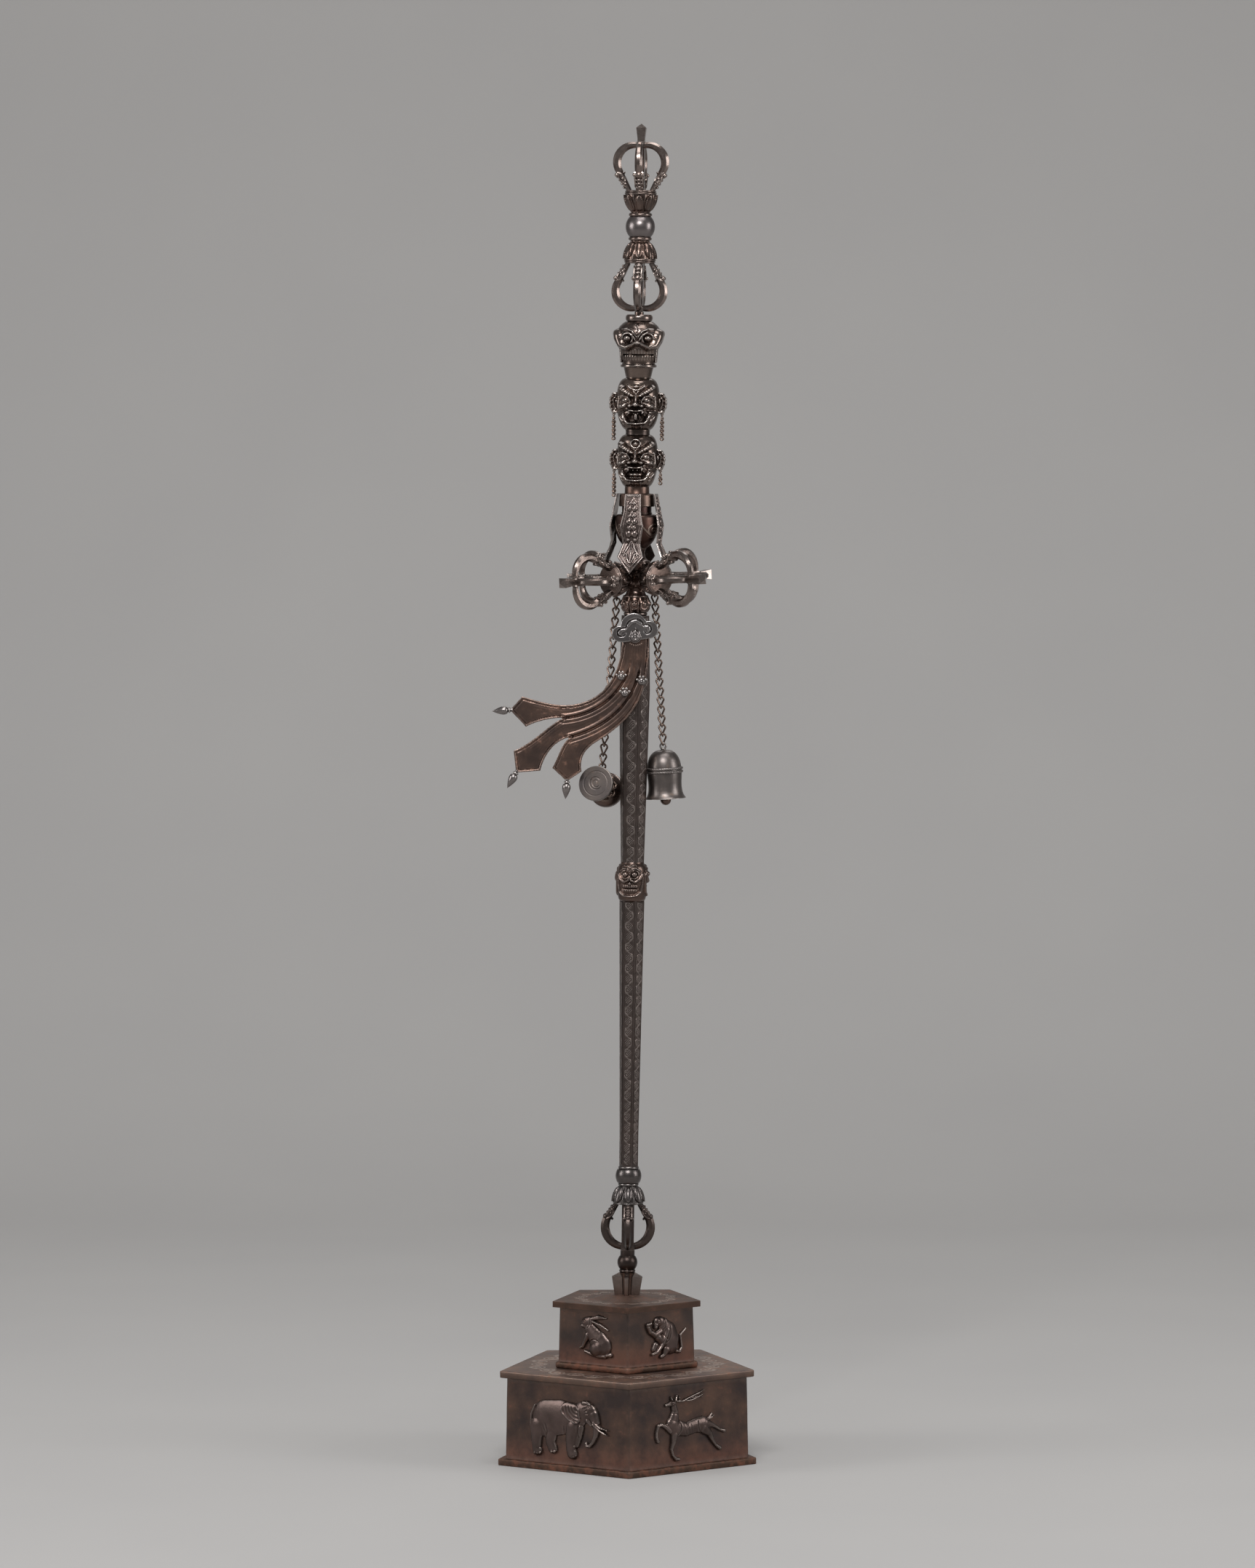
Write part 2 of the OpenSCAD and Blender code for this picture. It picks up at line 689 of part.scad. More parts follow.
// Outline of a prong in the plane of the axis: a slanting root and a closing crescent
module prong_outline(h, belly, reach, depth) {
    outer = h - belly;
    inner = outer - prong_tip;
    root = belly - prong_root;
    root_out = reach - outer + sqrt(outer * outer - prong_root * prong_root);
    root_in = reach - depth - inner + sqrt(inner * inner - pow(prong_root - prong_sink, 2));
    difference() {
        translate([reach - outer, belly]) circle(outer);
        translate([reach - depth - inner, belly - prong_sink]) circle(inner);
        translate([-reach, 0]) square([2 * reach, root]);
        translate([-reach, 0]) square([reach, h]);
    }
    polygon([[prong_foot, 0], [prong_foot + 7, 0], [root_out, root], [root_in, root]]);
}

module crown(h, belly, reach, depth, core) {
    for (k = [0:3]) rotate(k * 90) {
        rotate([90, 0, 0]) linear_extrude(prong_w, center = true)
            prong_outline(h, belly, reach, depth);
        translate([reach - 6.2, 0, belly * 0.53]) rotate([90, 0, 0])
            cylinder(r = prong_knob_r, h = prong_w + 1.6, center = true);
    }
    cylinder(r = core, h = h);
}

// A square spike whose sides follow the outline [half width, height]
module square_spike(outline) {
    full = concat(outline, [for (i = [len(outline) - 1:-1:0]) [-outline[i].x, outline[i].y]]);
    wide = 4 * spike_head;
    intersection() {
        rotate([90, 0, 0]) linear_extrude(wide, center = true) polygon(full);
        rotate([90, 0, 90]) linear_extrude(wide, center = true) polygon(full);
    }
}

module spike() {
    square_spike([[spike_foot, -3], [spike_foot, 3], [spike_head, spike_len - 4],
        [0.2, spike_len]]);
}

module half_vajra() {
    lotus(lotus_h, lotus_neck_r, lotus_r, rim_r, rim_h);
    translate([0, 0, lotus_h + rim_h - 0.6]) crown(crown_h + 0.6, crown_belly, crown_reach,
        prong_depth, spike_foot);
    translate([0, 0, lotus_h + rim_h + crown_h]) spike();
}

// Lower end of the staff

module finned_point() {
    color(steel) leaning() rotate(-fin_turn) {
        for (a = [0, 90]) rotate([90, 0, a]) linear_extrude(fin_t, center = true)
            polygon([[0, tip_z], [fin_half_w, shoulder_z], [collar_r, collar_z],
                [-collar_r, collar_z], [-fin_half_w, shoulder_z]]);
        translate([0, 0, tip_z]) cylinder(r1 = 0.5, r2 = fin_core_r, h = point_len);
        translate([0, 0, shoulder_z]) cylinder(r1 = fin_core_r, r2 = collar_r, h = shoulder_h);
    }
}

module point_bulb() {
    color(iron) leaning() {
        translate([0, 0, collar_z]) bead(collar_r, collar_h);
        translate([0, 0, bulb_z]) flat_ball(bulb_r, bulb_h);
        translate([0, 0, bulb_z + bulb_h]) cylinder(r = bulb_neck_r, h = bulb_neck_h);
    }
}

module lower_crown() {
    color(iron) leaning() translate([0, 0, low_rim_z]) rotate([180, 0, 0])
        crown(low_crown_h, low_belly, low_reach, prong_depth + 0.8, bulb_neck_r - 1);
}

module lower_lotus() {
    color(steel) leaning() translate([0, 0, low_lotus_top]) rotate([180, 0, 0])
        lotus(low_lotus_h, lotus_neck_r - 0.5, lotus_r - 0.6, rim_r - 0.5, low_rim_h);
}

module lower_ball() {
    color(steel) leaning() {
        translate([0, 0, low_lotus_top]) bead(low_ring_r, low_ring_h);
        translate([0, 0, low_ball_z]) flat_ball(low_ball_r, low_ball_h);
        translate([0, 0, low_ball_z + low_ball_h]) bead(low_ring_r, low_ring_h);
    }
}

// Six-sided shaft from [height, corner radius] pairs
module hex_shaft(stations) {
    rotate(-shaft_turn) for (i = [0:len(stations) - 2]) {
        a = stations[i];
        b = stations[i + 1];
        translate([0, 0, a[0]]) cylinder(r1 = a[1], r2 = b[1], h = b[0] - a[0], $fn = 6);
    }
}

module lower_shaft() {
    color(iron) leaning() hex_shaft([[low_shaft_z, low_shaft_r], [low_shaft_z + 36, low_shaft_r],
        [knob_z, mid_shaft_r]]);
}

module upper_shaft() {
    color(iron) leaning() difference() {
        hex_shaft([[up_shaft_z, up_shaft_r], [up_shaft_z + swell_z, swell_r],
            [neck_ring_z, top_shaft_r]]);
        front_holes();
    }
}

// Blind holes in the shaft for the rivets of the ribbon
module front_holes() {
    for (p = shaft_rivets) translate([p.x, -swell_r - 1, rivet_z + p.y])
        rotate([-90, 0, 0]) cylinder(r = shank_r + rod_gap, h = swell_r - 3);
}

// A round bar from a to b
module bar(a, b, r) {
    d = b - a;
    translate(a) rotate([0, acos(d.z / norm(d)), atan2(d.y, d.x)]) cylinder(r = r, h = norm(d));
}

// A point on the front of a round head, pushed out by d
function front(r, x, z, d = 0) = [x, -sqrt(r * r - x * x) - d, z];

// Three grinning skull faces round the shaft
module skull_knob() {
    foot = knob_r * 0.92;
    belly = knob_r + 0.3;
    color(iron) leaning() translate([0, 0, knob_z]) {
        rotate_extrude() polygon(concat([[0, 0]],
            curve([[foot - 1, 0], [foot + 1, 1], [belly, knob_h * 0.4],
                [belly, knob_h * 0.6]], 5),
            curve([[belly, knob_h * 0.6], [belly, knob_h * 0.85],
                [knob_r, knob_h * 0.93], [up_shaft_r, knob_h]], 5), [[0, knob_h]]));
        for (k = [0:2]) rotate(k * 120 - knob_turn) {
            for (s = [-1, 1]) {
                translate(front(knob_r, 5 * s, 24.5, -1.4)) sphere(3.4);
                bar(front(knob_r, 11 * s, 23, 0.4), front(knob_r, 4.5 * s, 16.5, 0.6), 1.4);
            }
            bar(front(knob_r, -8, 6, -0.4), front(knob_r, 8, 6, -0.4), 3);
        }
    }
}

// Crossing

module petalled_ball() {
    color(iron) leaning() difference() {
        union() {
            translate([0, 0, neck_ring_z]) bead(neck_ring_r, neck_ring_h);
            translate([0, 0, neck_ball_z]) flat_ball(neck_ball_r, neck_ball_h);
            translate([0, 0, neck_ball_z + neck_ball_h])
                cylinder(r1 = neck_ring_r, r2 = stub_r - 1, h = neck_shoulder_h);
        }
        for (k = [0:7]) rotate(k * 45 + 22.5)
            translate([neck_ball_r + 0.6, 0, neck_ball_z]) cylinder(r = 1.6, h = neck_ball_h);
    }
}

shank_z = neck_top_z + 2.7;
shank_root = 2;

module cross_hub() {
    color(iron) leaning() difference() {
        union() {
            translate([0, 0, neck_top_z]) cylinder(r = stub_r - 1, h = baluster_z - neck_top_z);
            translate([0, 0, cross_z]) sphere(arm_start - 1);
            for (a = [-45, 45]) translate([0, 0, cross_z]) rotate([90, 0, a])
                cylinder(r = stub_r, h = 2 * arm_start, center = true);
        }
        translate([0, 0, cross_z]) cylinder(r = core_r + rod_gap, h = hub_top + 1);
        for (s = [-1, 1]) translate([s * shank_root, eye_y, shank_z]) rotate([0, 90 * s, 0])
            cylinder(r = wire_d / 2 + rod_gap, h = stub_r);
    }
}

module arm(a) {
    color(steel) leaning() translate([0, 0, cross_z]) rotate([90, 0, a]) translate([0, 0, arm_start])
        half_vajra();
}

module vajra_front_left() { arm(-45); }
module vajra_front_right() { arm(45); }
module vajra_back_right() { arm(135); }
module vajra_back_left() { arm(225); }

// Pieces threaded on the core rod

module core_rod() {
    color(iron) leaning() translate([0, 0, cross_z]) cylinder(r = core_r, h = stem_z - cross_z);
}

module core_bore(z, h) {
    translate([0, 0, z - 1]) cylinder(r = core_r + rod_gap, h = h + 2);
}

module baluster() {
    color(iron) leaning() difference() {
        translate([0, 0, baluster_z]) rotate_extrude() polygon(concat([[0, 0], [baluster_r, 0]],
            curve([[baluster_r, 2.5], [vase_foot_r - 2, 4], [vase_foot_r - 3, baluster_h * 0.7],
                [vase_foot_r, baluster_h]]), [[0, baluster_h]]));
        core_bore(baluster_z, baluster_h);
    }
}

module vase() {
    color(rust) leaning() difference() {
        translate([0, 0, vase_z]) {
            rotate_extrude() polygon(concat([[0, 0]],
                curve([[vase_foot_r, 0], [vase_r * 0.9, vase_h * 0.2],
                    [vase_r + 0.3, vase_h * 0.5], [vase_r, vase_h * 0.75]], 10),
                curve([[vase_r, vase_h * 0.75], [vase_r, vase_h * 0.97],
                    [vase_r - 1, vase_h], [vase_neck_r, vase_h]]), [[0, vase_h]]));
            translate([0, 0, vase_h]) cylinder(r = vase_neck_r, h = vase_neck_h);
        }
        core_bore(vase_z, vase_h + vase_neck_h);
    }
}

module canopy_collar() {
    color(rust) leaning() difference() {
        union() {
            translate([0, 0, canopy_z]) cylinder(r = canopy_r, h = canopy_h);
            translate([0, 0, low_neck_z]) cylinder(r = neck_r, h = low_neck_h);
        }
        core_bore(canopy_z, canopy_h + low_neck_h);
    }
}

// A hanging lappet: its side view bends, and its front view narrows to a waist and a point
module lappet(turn) {
    out = 5.9;
    low_out = 12.4;
    knee = 32;
    waist = 51;
    shield = 65;
    side = [[0, 0], [out, -knee], [out - 1.6, -waist], [low_out, -lappet_len + 12],
        [low_out + 2, -lappet_len]];
    side_inner = [for (i = [len(side) - 1:-1:0]) side[i] - [lappet_t, 0]];
    top = lappet_top_w / 2;
    mid = lappet_mid_w / 2;
    low = lappet_low_w / 2;
    face = [[top, 0], [top + 0.5, -18], [mid, -knee - 2], [mid - 3, -waist],
        [low, -shield], [0, -lappet_len]];
    color(steel) leaning() translate([0, 0, low_neck_z]) rotate(turn - shaft_turn) intersection() {
        rotate([90, 0, 0]) linear_extrude(lappet_low_w + 2, center = true)
            translate([canopy_r + lappet_t + rod_gap, 0]) polygon(concat(side, side_inner));
        rotate([90, 0, 90]) linear_extrude(canopy_r + low_out + 10)
            polygon(concat(face, [for (i = [len(face) - 2:-1:0]) [-face[i].x, face[i].y]]));
    }
}

module lappet_front() { lappet(-90); }
module lappet_right() { lappet(0); }
module lappet_back() { lappet(90); }
module lappet_left() { lappet(180); }

// Wrathful head, standing on its neck at z = 0 and looking to -Y
lobe_z = 15.6;
ear_bend = (ear_link_w - ear_wire_d) / 2;
function lobe_x(r) = r + ear_reach - 4.6;

module ear(s, r) {
    tip = r + ear_reach - 4.5;
    rotate([90, 0, 0]) linear_extrude(5, center = true) {
        limb([s * (r - 1), 36], [s * (r + 0.5), 24], 5.5, 5);
        limb([s * tip, 36.5], [s * (tip - 0.8), 25], 4.5, 4);
        limb([s * (tip - 0.8), 25], [s * lobe_x(r), lobe_z + 3.6], 3.9, 2.4);
    }
    translate([s * lobe_x(r), 0, lobe_z + ear_bend - 0.6]) rotate([90, 0, 0])
        rotate_extrude() translate([ear_bend, 0]) circle(ear_wire_d / 2);
}

module wrathful_head(r, urna) {
    lip = r - 1.2;
    difference() {
        union() {
            rotate_extrude() polygon(concat([[0, 0], [neck_r, 0]],
                curve([[neck_r, 1], [r - 3, 3], [r, head_h * 0.28], [r, head_h * 0.55]], 5),
                curve([[r, head_h * 0.55], [r, head_h * 0.85], [r - 3, head_h * 0.97],
                    [neck_r, head_h]], 6), [[0, head_h]]));
            for (s = [-1, 1]) {
                translate(front(r, 9.4 * s, 34.2, -2.6)) sphere(4.4);
                bar(front(r, 3.5 * s, 39, 0.2), front(r, 15.5 * s, 45, -0.6), 2.7);
                translate(front(r, 13 * s, 25.5, -3.2)) sphere(6);
                ear(s, r);
            }
            bar(front(r, 0, 39, -0.5), front(r, 0, 29, 2), 2.6);
            translate(front(r, 0, 28.6, 1)) sphere(4.4);
            bar(front(r, -8.5, 10.4, -0.6), front(r, 8.5, 10.4, -0.6), 2);
            translate(front(r, 0, 6.5, -5.2)) sphere(6.2);
            if (urna) translate(front(r, 0, 46.5, -4)) rotate([90, 0, 0])
                cylinder(r = 3.6, h = 5.2);
        }
        translate([0, -lip + 5, 0]) rotate([90, 0, 0]) linear_extrude(12)
            polygon([[-9.5, 20.5], [9.5, 20.5], [7, 12.6], [-7, 12.6]]);
        core_bore(0, head_h);
    }
    for (s = [-1, 1]) translate([5.2 * s, -lip + 3, 21.5]) rotate([180, 0, 0])
        cylinder(r1 = 1.5, r2 = 0.5, h = 6);
}

module lower_head() {
    color(iron) leaning() {
        translate([0, 0, low_head_z]) rotate(-head_turn) wrathful_head(low_head_r, true);
        difference() {
            translate([0, 0, mid_neck_z - 1]) cylinder(r = neck_r - 0.4, h = mid_neck_h + 1);
            core_bore(mid_neck_z, mid_neck_h);
        }
    }
}

module upper_head() {
    color(iron) leaning() translate([0, 0, up_head_z]) rotate(-head_turn)
        wrathful_head(up_head_r, false);
}

// Dry skull with flat flaring cheeks, round eyes and two rows of teeth
module dry_skull() {
    jaw = 18.4;
    color(iron) leaning() difference() {
        union() {
            translate([0, 0, funnel_z]) cylinder(r1 = neck_r, r2 = neck_r + 2.6, h = funnel_h);
            translate([0, 0, skull_z]) rotate(-head_turn * 0.75) {
                cylinder(r = jaw, h = 5);
                rotate_extrude() polygon(concat([[0, 3], [jaw - 1.4, 3]],
                    curve([[jaw - 1.4, 4.5], [jaw - 0.6, 14], [skull_r - 1, 24],
                        [skull_r, 33]], 5),
                    curve([[skull_r, 33], [skull_r + 0.2, 40], [skull_r - 4, 44],
                        [cap_r, skull_h]], 6), [[0, skull_h]]));
                for (s = [-1, 1]) {
                    rotate([90, 0, 0]) linear_extrude(15, center = true)
                        limb([s * (cheek_reach - 4.2), 34], [s * (jaw - 1), 6], 4.2, 1.4);
                    translate(front(skull_r, 10.4 * s, 29, -1.8)) rotate([90, 0, 0])
                        cylinder(r = 5.6, h = 2.6);
                    translate(front(skull_r, 10.4 * s, 29, 0.2)) sphere(3.2);
                    bar(front(skull_r, 18 * s, 24, 0), front(skull_r, 3 * s, 20.5, 0), 2.1);
                }
                for (z = [7.4, 14]) translate([0, 0, z]) linear_extrude(3.6)
                    for (k = [-5:5]) rotate(k * 9.6) translate([0, -jaw + 0.6]) circle(1.6);
            }
        }
        core_bore(funnel_z, funnel_h + skull_h);
        translate([0, -30, skull_z + 12.5]) cube([33, 40, 1.2], center = true);
    }
}

module cap_ring() {
    color(iron) leaning() difference() {
        union() {
            translate([0, 0, cap_z]) bead(cap_r, cap_h);
            translate([0, 0, stem_z]) cylinder(r = spike_foot + 1, h = stem_h);
        }
        translate([0, 0, cap_z - 1]) cylinder(r = core_r + rod_gap, h = cap_h + 1);
    }
}

// Finial

module finial_lower_crown() {
    color(steel) leaning() translate([0, 0, grip_z]) rotate([180, 0, head_turn])
        crown(crown_h, crown_belly, crown_reach, prong_depth, spike_foot);
}

module finial_grip() {
    lotus_full = lotus_h + rim_h;
    color(steel) leaning() translate([0, 0, grip_z]) rotate(-head_turn) {
        translate([0, 0, lotus_full]) rotate([180, 0, 0])
            lotus(lotus_h, lotus_neck_r, lotus_r, rim_r, rim_h);
        translate([0, 0, lotus_full]) bead(globe_ring_r, globe_ring_h);
        translate([0, 0, lotus_full + globe_ring_h]) flat_ball(globe_r, globe_h);
        translate([0, 0, grip_h - lotus_full - globe_ring_h]) bead(globe_ring_r, globe_ring_h);
        translate([0, 0, grip_h - lotus_full])
            lotus(lotus_h, lotus_neck_r, lotus_r, rim_r, rim_h);
    }
}

module finial_upper_crown() {
    color(steel) leaning() translate([0, 0, top_crown_z]) rotate(-head_turn) {
        crown(crown_h, crown_belly, crown_reach, prong_depth, spike_foot);
        translate([0, 0, crown_h]) spike();
    }
}

// Ribbon, plaque and their rivets

boss_spots = [[-14.1, -42], [7, -46.6], [-10.1, -58.9]];
shaft_rivets = [[0, 0], [7, -46.6]];

// Puts a flat drawing in the ribbon's plane, from depth a to depth b
module in_plate(a, b) {
    translate([0, a, rivet_z]) rotate([90, 0, 0]) linear_extrude(a - b) children();
}

module channel(line) {
    path = curve(line, 12);
    n = len(path) - 1;
    function side(i) = let (d = path[min(i + 1, n)] - path[max(i - 1, 0)])
        [-d.y, d.x] / norm(d) * 0.8;
    polygon(concat([for (i = [0:n]) path[i] + side(i)],
        [for (i = [n:-1:0]) path[i] - side(i)]));
}

module ribbon() {
    color(copper) leaning() difference() {
        in_plate(plate_back, plate_front) polygon([for (e = ribbon_edges) each curve(e, 7)]);
        in_plate(plate_front + channel_depth, plate_front - 1)
            for (line = channel_lines) channel(line);
        for (p = concat([[0, 0]], boss_spots))
            translate([p.x, plate_front - 1, rivet_z + p.y]) rotate([-90, 0, 0])
                cylinder(r = shank_r + rod_gap, h = ribbon_t + 2);
    }
}

// Domed rivet heads; the one over the shaft goes on into it
module ribbon_bosses() {
    head = 3.7;
    color(steel) leaning() for (p = boss_spots) translate([p.x, plate_front, rivet_z + p.y])
        rotate([-90, 0, 0]) {
            intersection() {
                sphere(head);
                translate([0, 0, -head]) cylinder(r = head, h = head);
            }
            cylinder(r = shank_r, h = p.x > 0 ? ribbon_t + shank_in : ribbon_t);
        }
}
shank_in = 6;

module ribbon_drops() {
    color(steel) leaning() for (k = [0:2]) translate([tail_tips[k].x, (plate_back + plate_front) / 2,
        rivet_z + tail_tips[k].y]) rotate([0, -tail_turns[k], 0]) difference() {
            rotate_extrude() polygon(concat([[0, -3], [1.9, -3], [1.9, 2]],
                curve([[1.9, 2], [drop_r + 1.2, 4], [drop_r + 0.6, 9], [0, drop_len]], 10)));
            translate([-10, -ribbon_t / 2, -10]) cube([20, ribbon_t, 10]);
        }
}

module cloud_plaque() {
    color(steel) leaning() difference() {
        in_plate(plate_front, plate_front - plaque_t) {
            translate([-1, 13]) circle(9.8);
            translate([14.8, 5.6]) circle(8.6);
            translate([-15.2, 0.8]) circle(8.6);
            translate([0, 2]) circle(12);
            polygon([[-15.2, -7.8], [15, -3], [10, 14], [-12, 12]]);
        }
        translate([0, plate_front - plaque_t - 1, rivet_z]) rotate([-90, 0, 0])
            cylinder(r = shank_r + rod_gap, h = plaque_t + 2);
    }
}

// Drop-shaped dome on a shank that goes through plaque and ribbon into the shaft
module plaque_rivet() {
    dome = 6.2;
    color(steel) leaning() translate([0, plate_front - plaque_t, rivet_z]) rotate([-90, 0, 0]) {
        intersection() {
            union() {
                sphere(dome);
                translate([0, -dome * 0.75, 0]) sphere(dome * 0.6);
            }
            translate([0, 0, -2 * dome]) cylinder(r = 2 * dome, h = 2 * dome);
        }
        cylinder(r = shank_r, h = plaque_t + ribbon_t + shank_in);
    }
}

// Chains

// One link in the XZ plane, its middle at the origin
module link(bend, straight, wire) {
    for (s = [-1, 1]) {
        translate([0, 0, s * straight / 2]) rotate([90, 0, 0]) rotate([0, 0, s > 0 ? 0 : 180])
            rotate_extrude(angle = 180) translate([bend, 0]) circle(wire / 2);
        translate([s * bend, 0, 0]) cylinder(r = wire / 2, h = straight, center = true);
    }
}

// Links number first to last of a chain that hangs from a wire at the origin, in the plane
// of x and z where their number is even
module chain(first, last) {
    for (i = [first:last]) translate([0, 0, hook - link_half - i * link_pitch])
        rotate(i % 2 * 90) link(bend_r, link_straight, wire_d);
}

bell_bend_after = 10;
drum_bend_after = 12;

module at_bell_eye() { translate([eye_x, eye_y, eye_z]) rotate([0, -bell_slant, 0]) children(); }
module at_drum_eye() {
    translate([-eye_x, eye_y, drum_eye_z]) rotate([0, drum_slant, 0]) children();
}

// Two eyes across the view, on shanks in the hub
module chain_eyes() {
    color(copper) leaning() for (s = [-1, 1]) {
        extra = s > 0 ? 0 : eye_extra / 2;
        translate([s * eye_x, eye_y, eye_z + bend_r - extra]) rotate([90, 0, 90])
            rotate_extrude() translate([bend_r + extra, 0]) circle(wire_d / 2);
        translate([s * shank_root, eye_y, shank_z]) rotate([0, 90 * s, 0])
            cylinder(r = wire_d / 2, h = eye_x - shank_root);
    }
}

module bell_chain_upper() { color(copper) leaning() at_bell_eye() chain(0, bell_bend_after); }
module bell_chain_lower() {
    color(copper) leaning() at_bell_eye() chain(bell_bend_after + 1, bell_links - 1);
}
module drum_chain_upper() { color(copper) leaning() at_drum_eye() chain(0, drum_bend_after); }
module drum_chain_lower() {
    color(copper) leaning() at_drum_eye() chain(drum_bend_after + 1, drum_links - 1);
}

// Bell, standing on its lip at z = 0
function bell_curve(d) = concat(
    curve([[bell_lip_r - d, 0], [bell_waist_r - d + 1, 3], [bell_waist_r - d - 0.6, 9],
        [bell_waist_r - d + 0.4, 20]]),
    curve([[bell_waist_r - d + 0.8, 25], [bell_ring_r - d - 0.8, 36], [11 - d / 2, bell_h - d - 1],
        [d > 0 ? 0 : 2.5, bell_h - d]]));

module at_bell() {
    translate([bell_hang_x, eye_y, bell_hang_z]) rotate([0, -bell_tilt, 0]) children();
}

module bell() {
    color(steel) leaning() at_bell() {
        translate([0, 0, hook - loop_r]) rotate([90, 0, 0])
            rotate_extrude() translate([loop_r, 0]) circle(wire_d / 2);
        translate([0, 0, -bell_drop]) {
            difference() {
                union() {
                    rotate_extrude() polygon(concat([[0, 0]], bell_curve(0), [[0, bell_h]]));
                    for (z = [26.2, 29.6]) translate([0, 0, z]) bead(bell_ring_r, 2.8);
                    translate([0, 0, bell_h - 2]) cylinder(r = 2.4, h = 3);
                }
                translate([0, 0, -0.01]) rotate_extrude()
                    polygon(concat([[0, 0]], bell_curve(bell_wall), [[0, bell_h - bell_wall]]));
            }
            translate([0, 0, bell_h - bell_wall - loop_r]) rotate([90, 0, 0])
                rotate_extrude() translate([loop_r, 0]) circle(wire_d / 2);
        }
    }
}

// Clapper: a ring on the bell's inner staple, a rod and a drop
staple_z = bell_h - bell_wall - 2 * loop_r - bell_drop;

module clapper() {
    ring_z = staple_z + hook - loop_r;
    drop_z = clapper_r - clapper_down - bell_drop;
    color(iron) leaning() at_bell() {
        translate([0, 0, ring_z]) rotate([90, 0, 90])
            rotate_extrude() translate([loop_r, 0]) circle(wire_d / 2);
        translate([0, 0, drop_z]) cylinder(r = 1.3, h = ring_z - loop_r - drop_z);
        translate([0, 0, drop_z]) {
            sphere(clapper_r);
            cylinder(r1 = clapper_r * 0.8, r2 = 1.3, h = clapper_r * 1.8);
        }
    }
}

// Drum, its axis along Y and its front face to -Y
module at_drum() { translate([-drum_x, eye_y, drum_z]) children(); }
module tilt_drum() { at_drum() rotate(-drum_turn) rotate([-drum_tilt, 0, 0]) children(); }

module drum_shell() {
    half = drum_len / 2 - drum_face_t;
    flat = 3.6;
    color(iron) leaning() tilt_drum() rotate([90, 0, 0]) for (s = [0, 180]) rotate([s, 0, 0])
        rotate_extrude() polygon(concat([[0, 0], [drum_waist_r, 0]],
            curve([[drum_waist_r, flat], [drum_waist_r + 1, flat + 4], [drum_r - 2, half - 5],
                [drum_r - 0.6, half]]), [[0, half]]));
}

module drum_faces() {
    color(steel) leaning() tilt_drum() rotate([90, 0, 0]) for (s = [0, 180]) rotate([s, 0, 0])
        translate([0, 0, drum_len / 2 - drum_face_t]) cylinder(r = drum_r, h = drum_face_t);
}

// A closed ring of links round the drum's waist; the top one stands upright
module drum_winding() {
    color(copper) leaning() at_drum() rotate(-drum_turn) for (k = [0:wrap_links - 1])
        rotate([0, k * 360 / wrap_links, 0]) translate([0, 0, wrap_r]) rotate([0, 90, 0])
            rotate([0, 0, (k % 2) * 90]) link(bend_r, link_straight, wire_d);
}

// Small chains that hang in the ear lobes' eyes
ear_hook = ear_wire_d + ear_gap;
ear_straight = ear_pitch + ear_hook - 2 * ear_bend;

module ear_chain(s, r, head_z, count) {
    color(copper) leaning() translate([0, 0, head_z]) rotate(-head_turn)
        translate([s * lobe_x(r), 0, lobe_z - 0.6]) for (i = [0:count - 1])
            translate([0, 0, ear_hook - ear_straight / 2 - ear_bend - i * ear_pitch])
                rotate(90 + i % 2 * 90) link(ear_bend, ear_straight, ear_wire_d);
}

module ear_chain_upper_left() { ear_chain(-1, up_head_r, up_head_z, ear_links); }
module ear_chain_upper_right() { ear_chain(1, up_head_r, up_head_z, ear_links); }
module ear_chain_lower_left() { ear_chain(-1, low_head_r, low_head_z, ear_links); }
module ear_chain_lower_right() { ear_chain(1, low_head_r, low_head_z, ear_links - 3); }

lower_foot_plate();
lower_wall_panels();
lower_top_plate();
upper_foot_plate();
upper_wall_panels();
upper_top_plate();
staff_socket();
elephant_reliefs();
deer_reliefs();
hare_reliefs();
monkey_reliefs();
finned_point();
point_bulb();
lower_crown();
lower_lotus();
lower_ball();
lower_shaft();
skull_knob();
upper_shaft();
petalled_ball();
cross_hub();
vajra_front_left();
vajra_front_right();
vajra_back_right();
vajra_back_left();
core_rod();
baluster();
vase();
canopy_collar();
lappet_front();
lappet_right();
lappet_back();
lappet_left();
lower_head();
upper_head();
dry_skull();
cap_ring();
finial_lower_crown();
finial_grip();
finial_upper_crown();
ribbon();
ribbon_bosses();
ribbon_drops();
cloud_plaque();
plaque_rivet();
chain_eyes();
bell_chain_upper();
bell_chain_lower();
bell();
clapper();
drum_chain_upper();
drum_chain_lower();
drum_winding();
drum_shell();
drum_faces();
ear_chain_upper_left();
ear_chain_upper_right();
ear_chain_lower_left();
ear_chain_lower_right();
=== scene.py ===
from math import cos, pi, radians, sin, sqrt, tau

import bmesh
import bpy
import numpy as np
from mathutils import Matrix, Vector


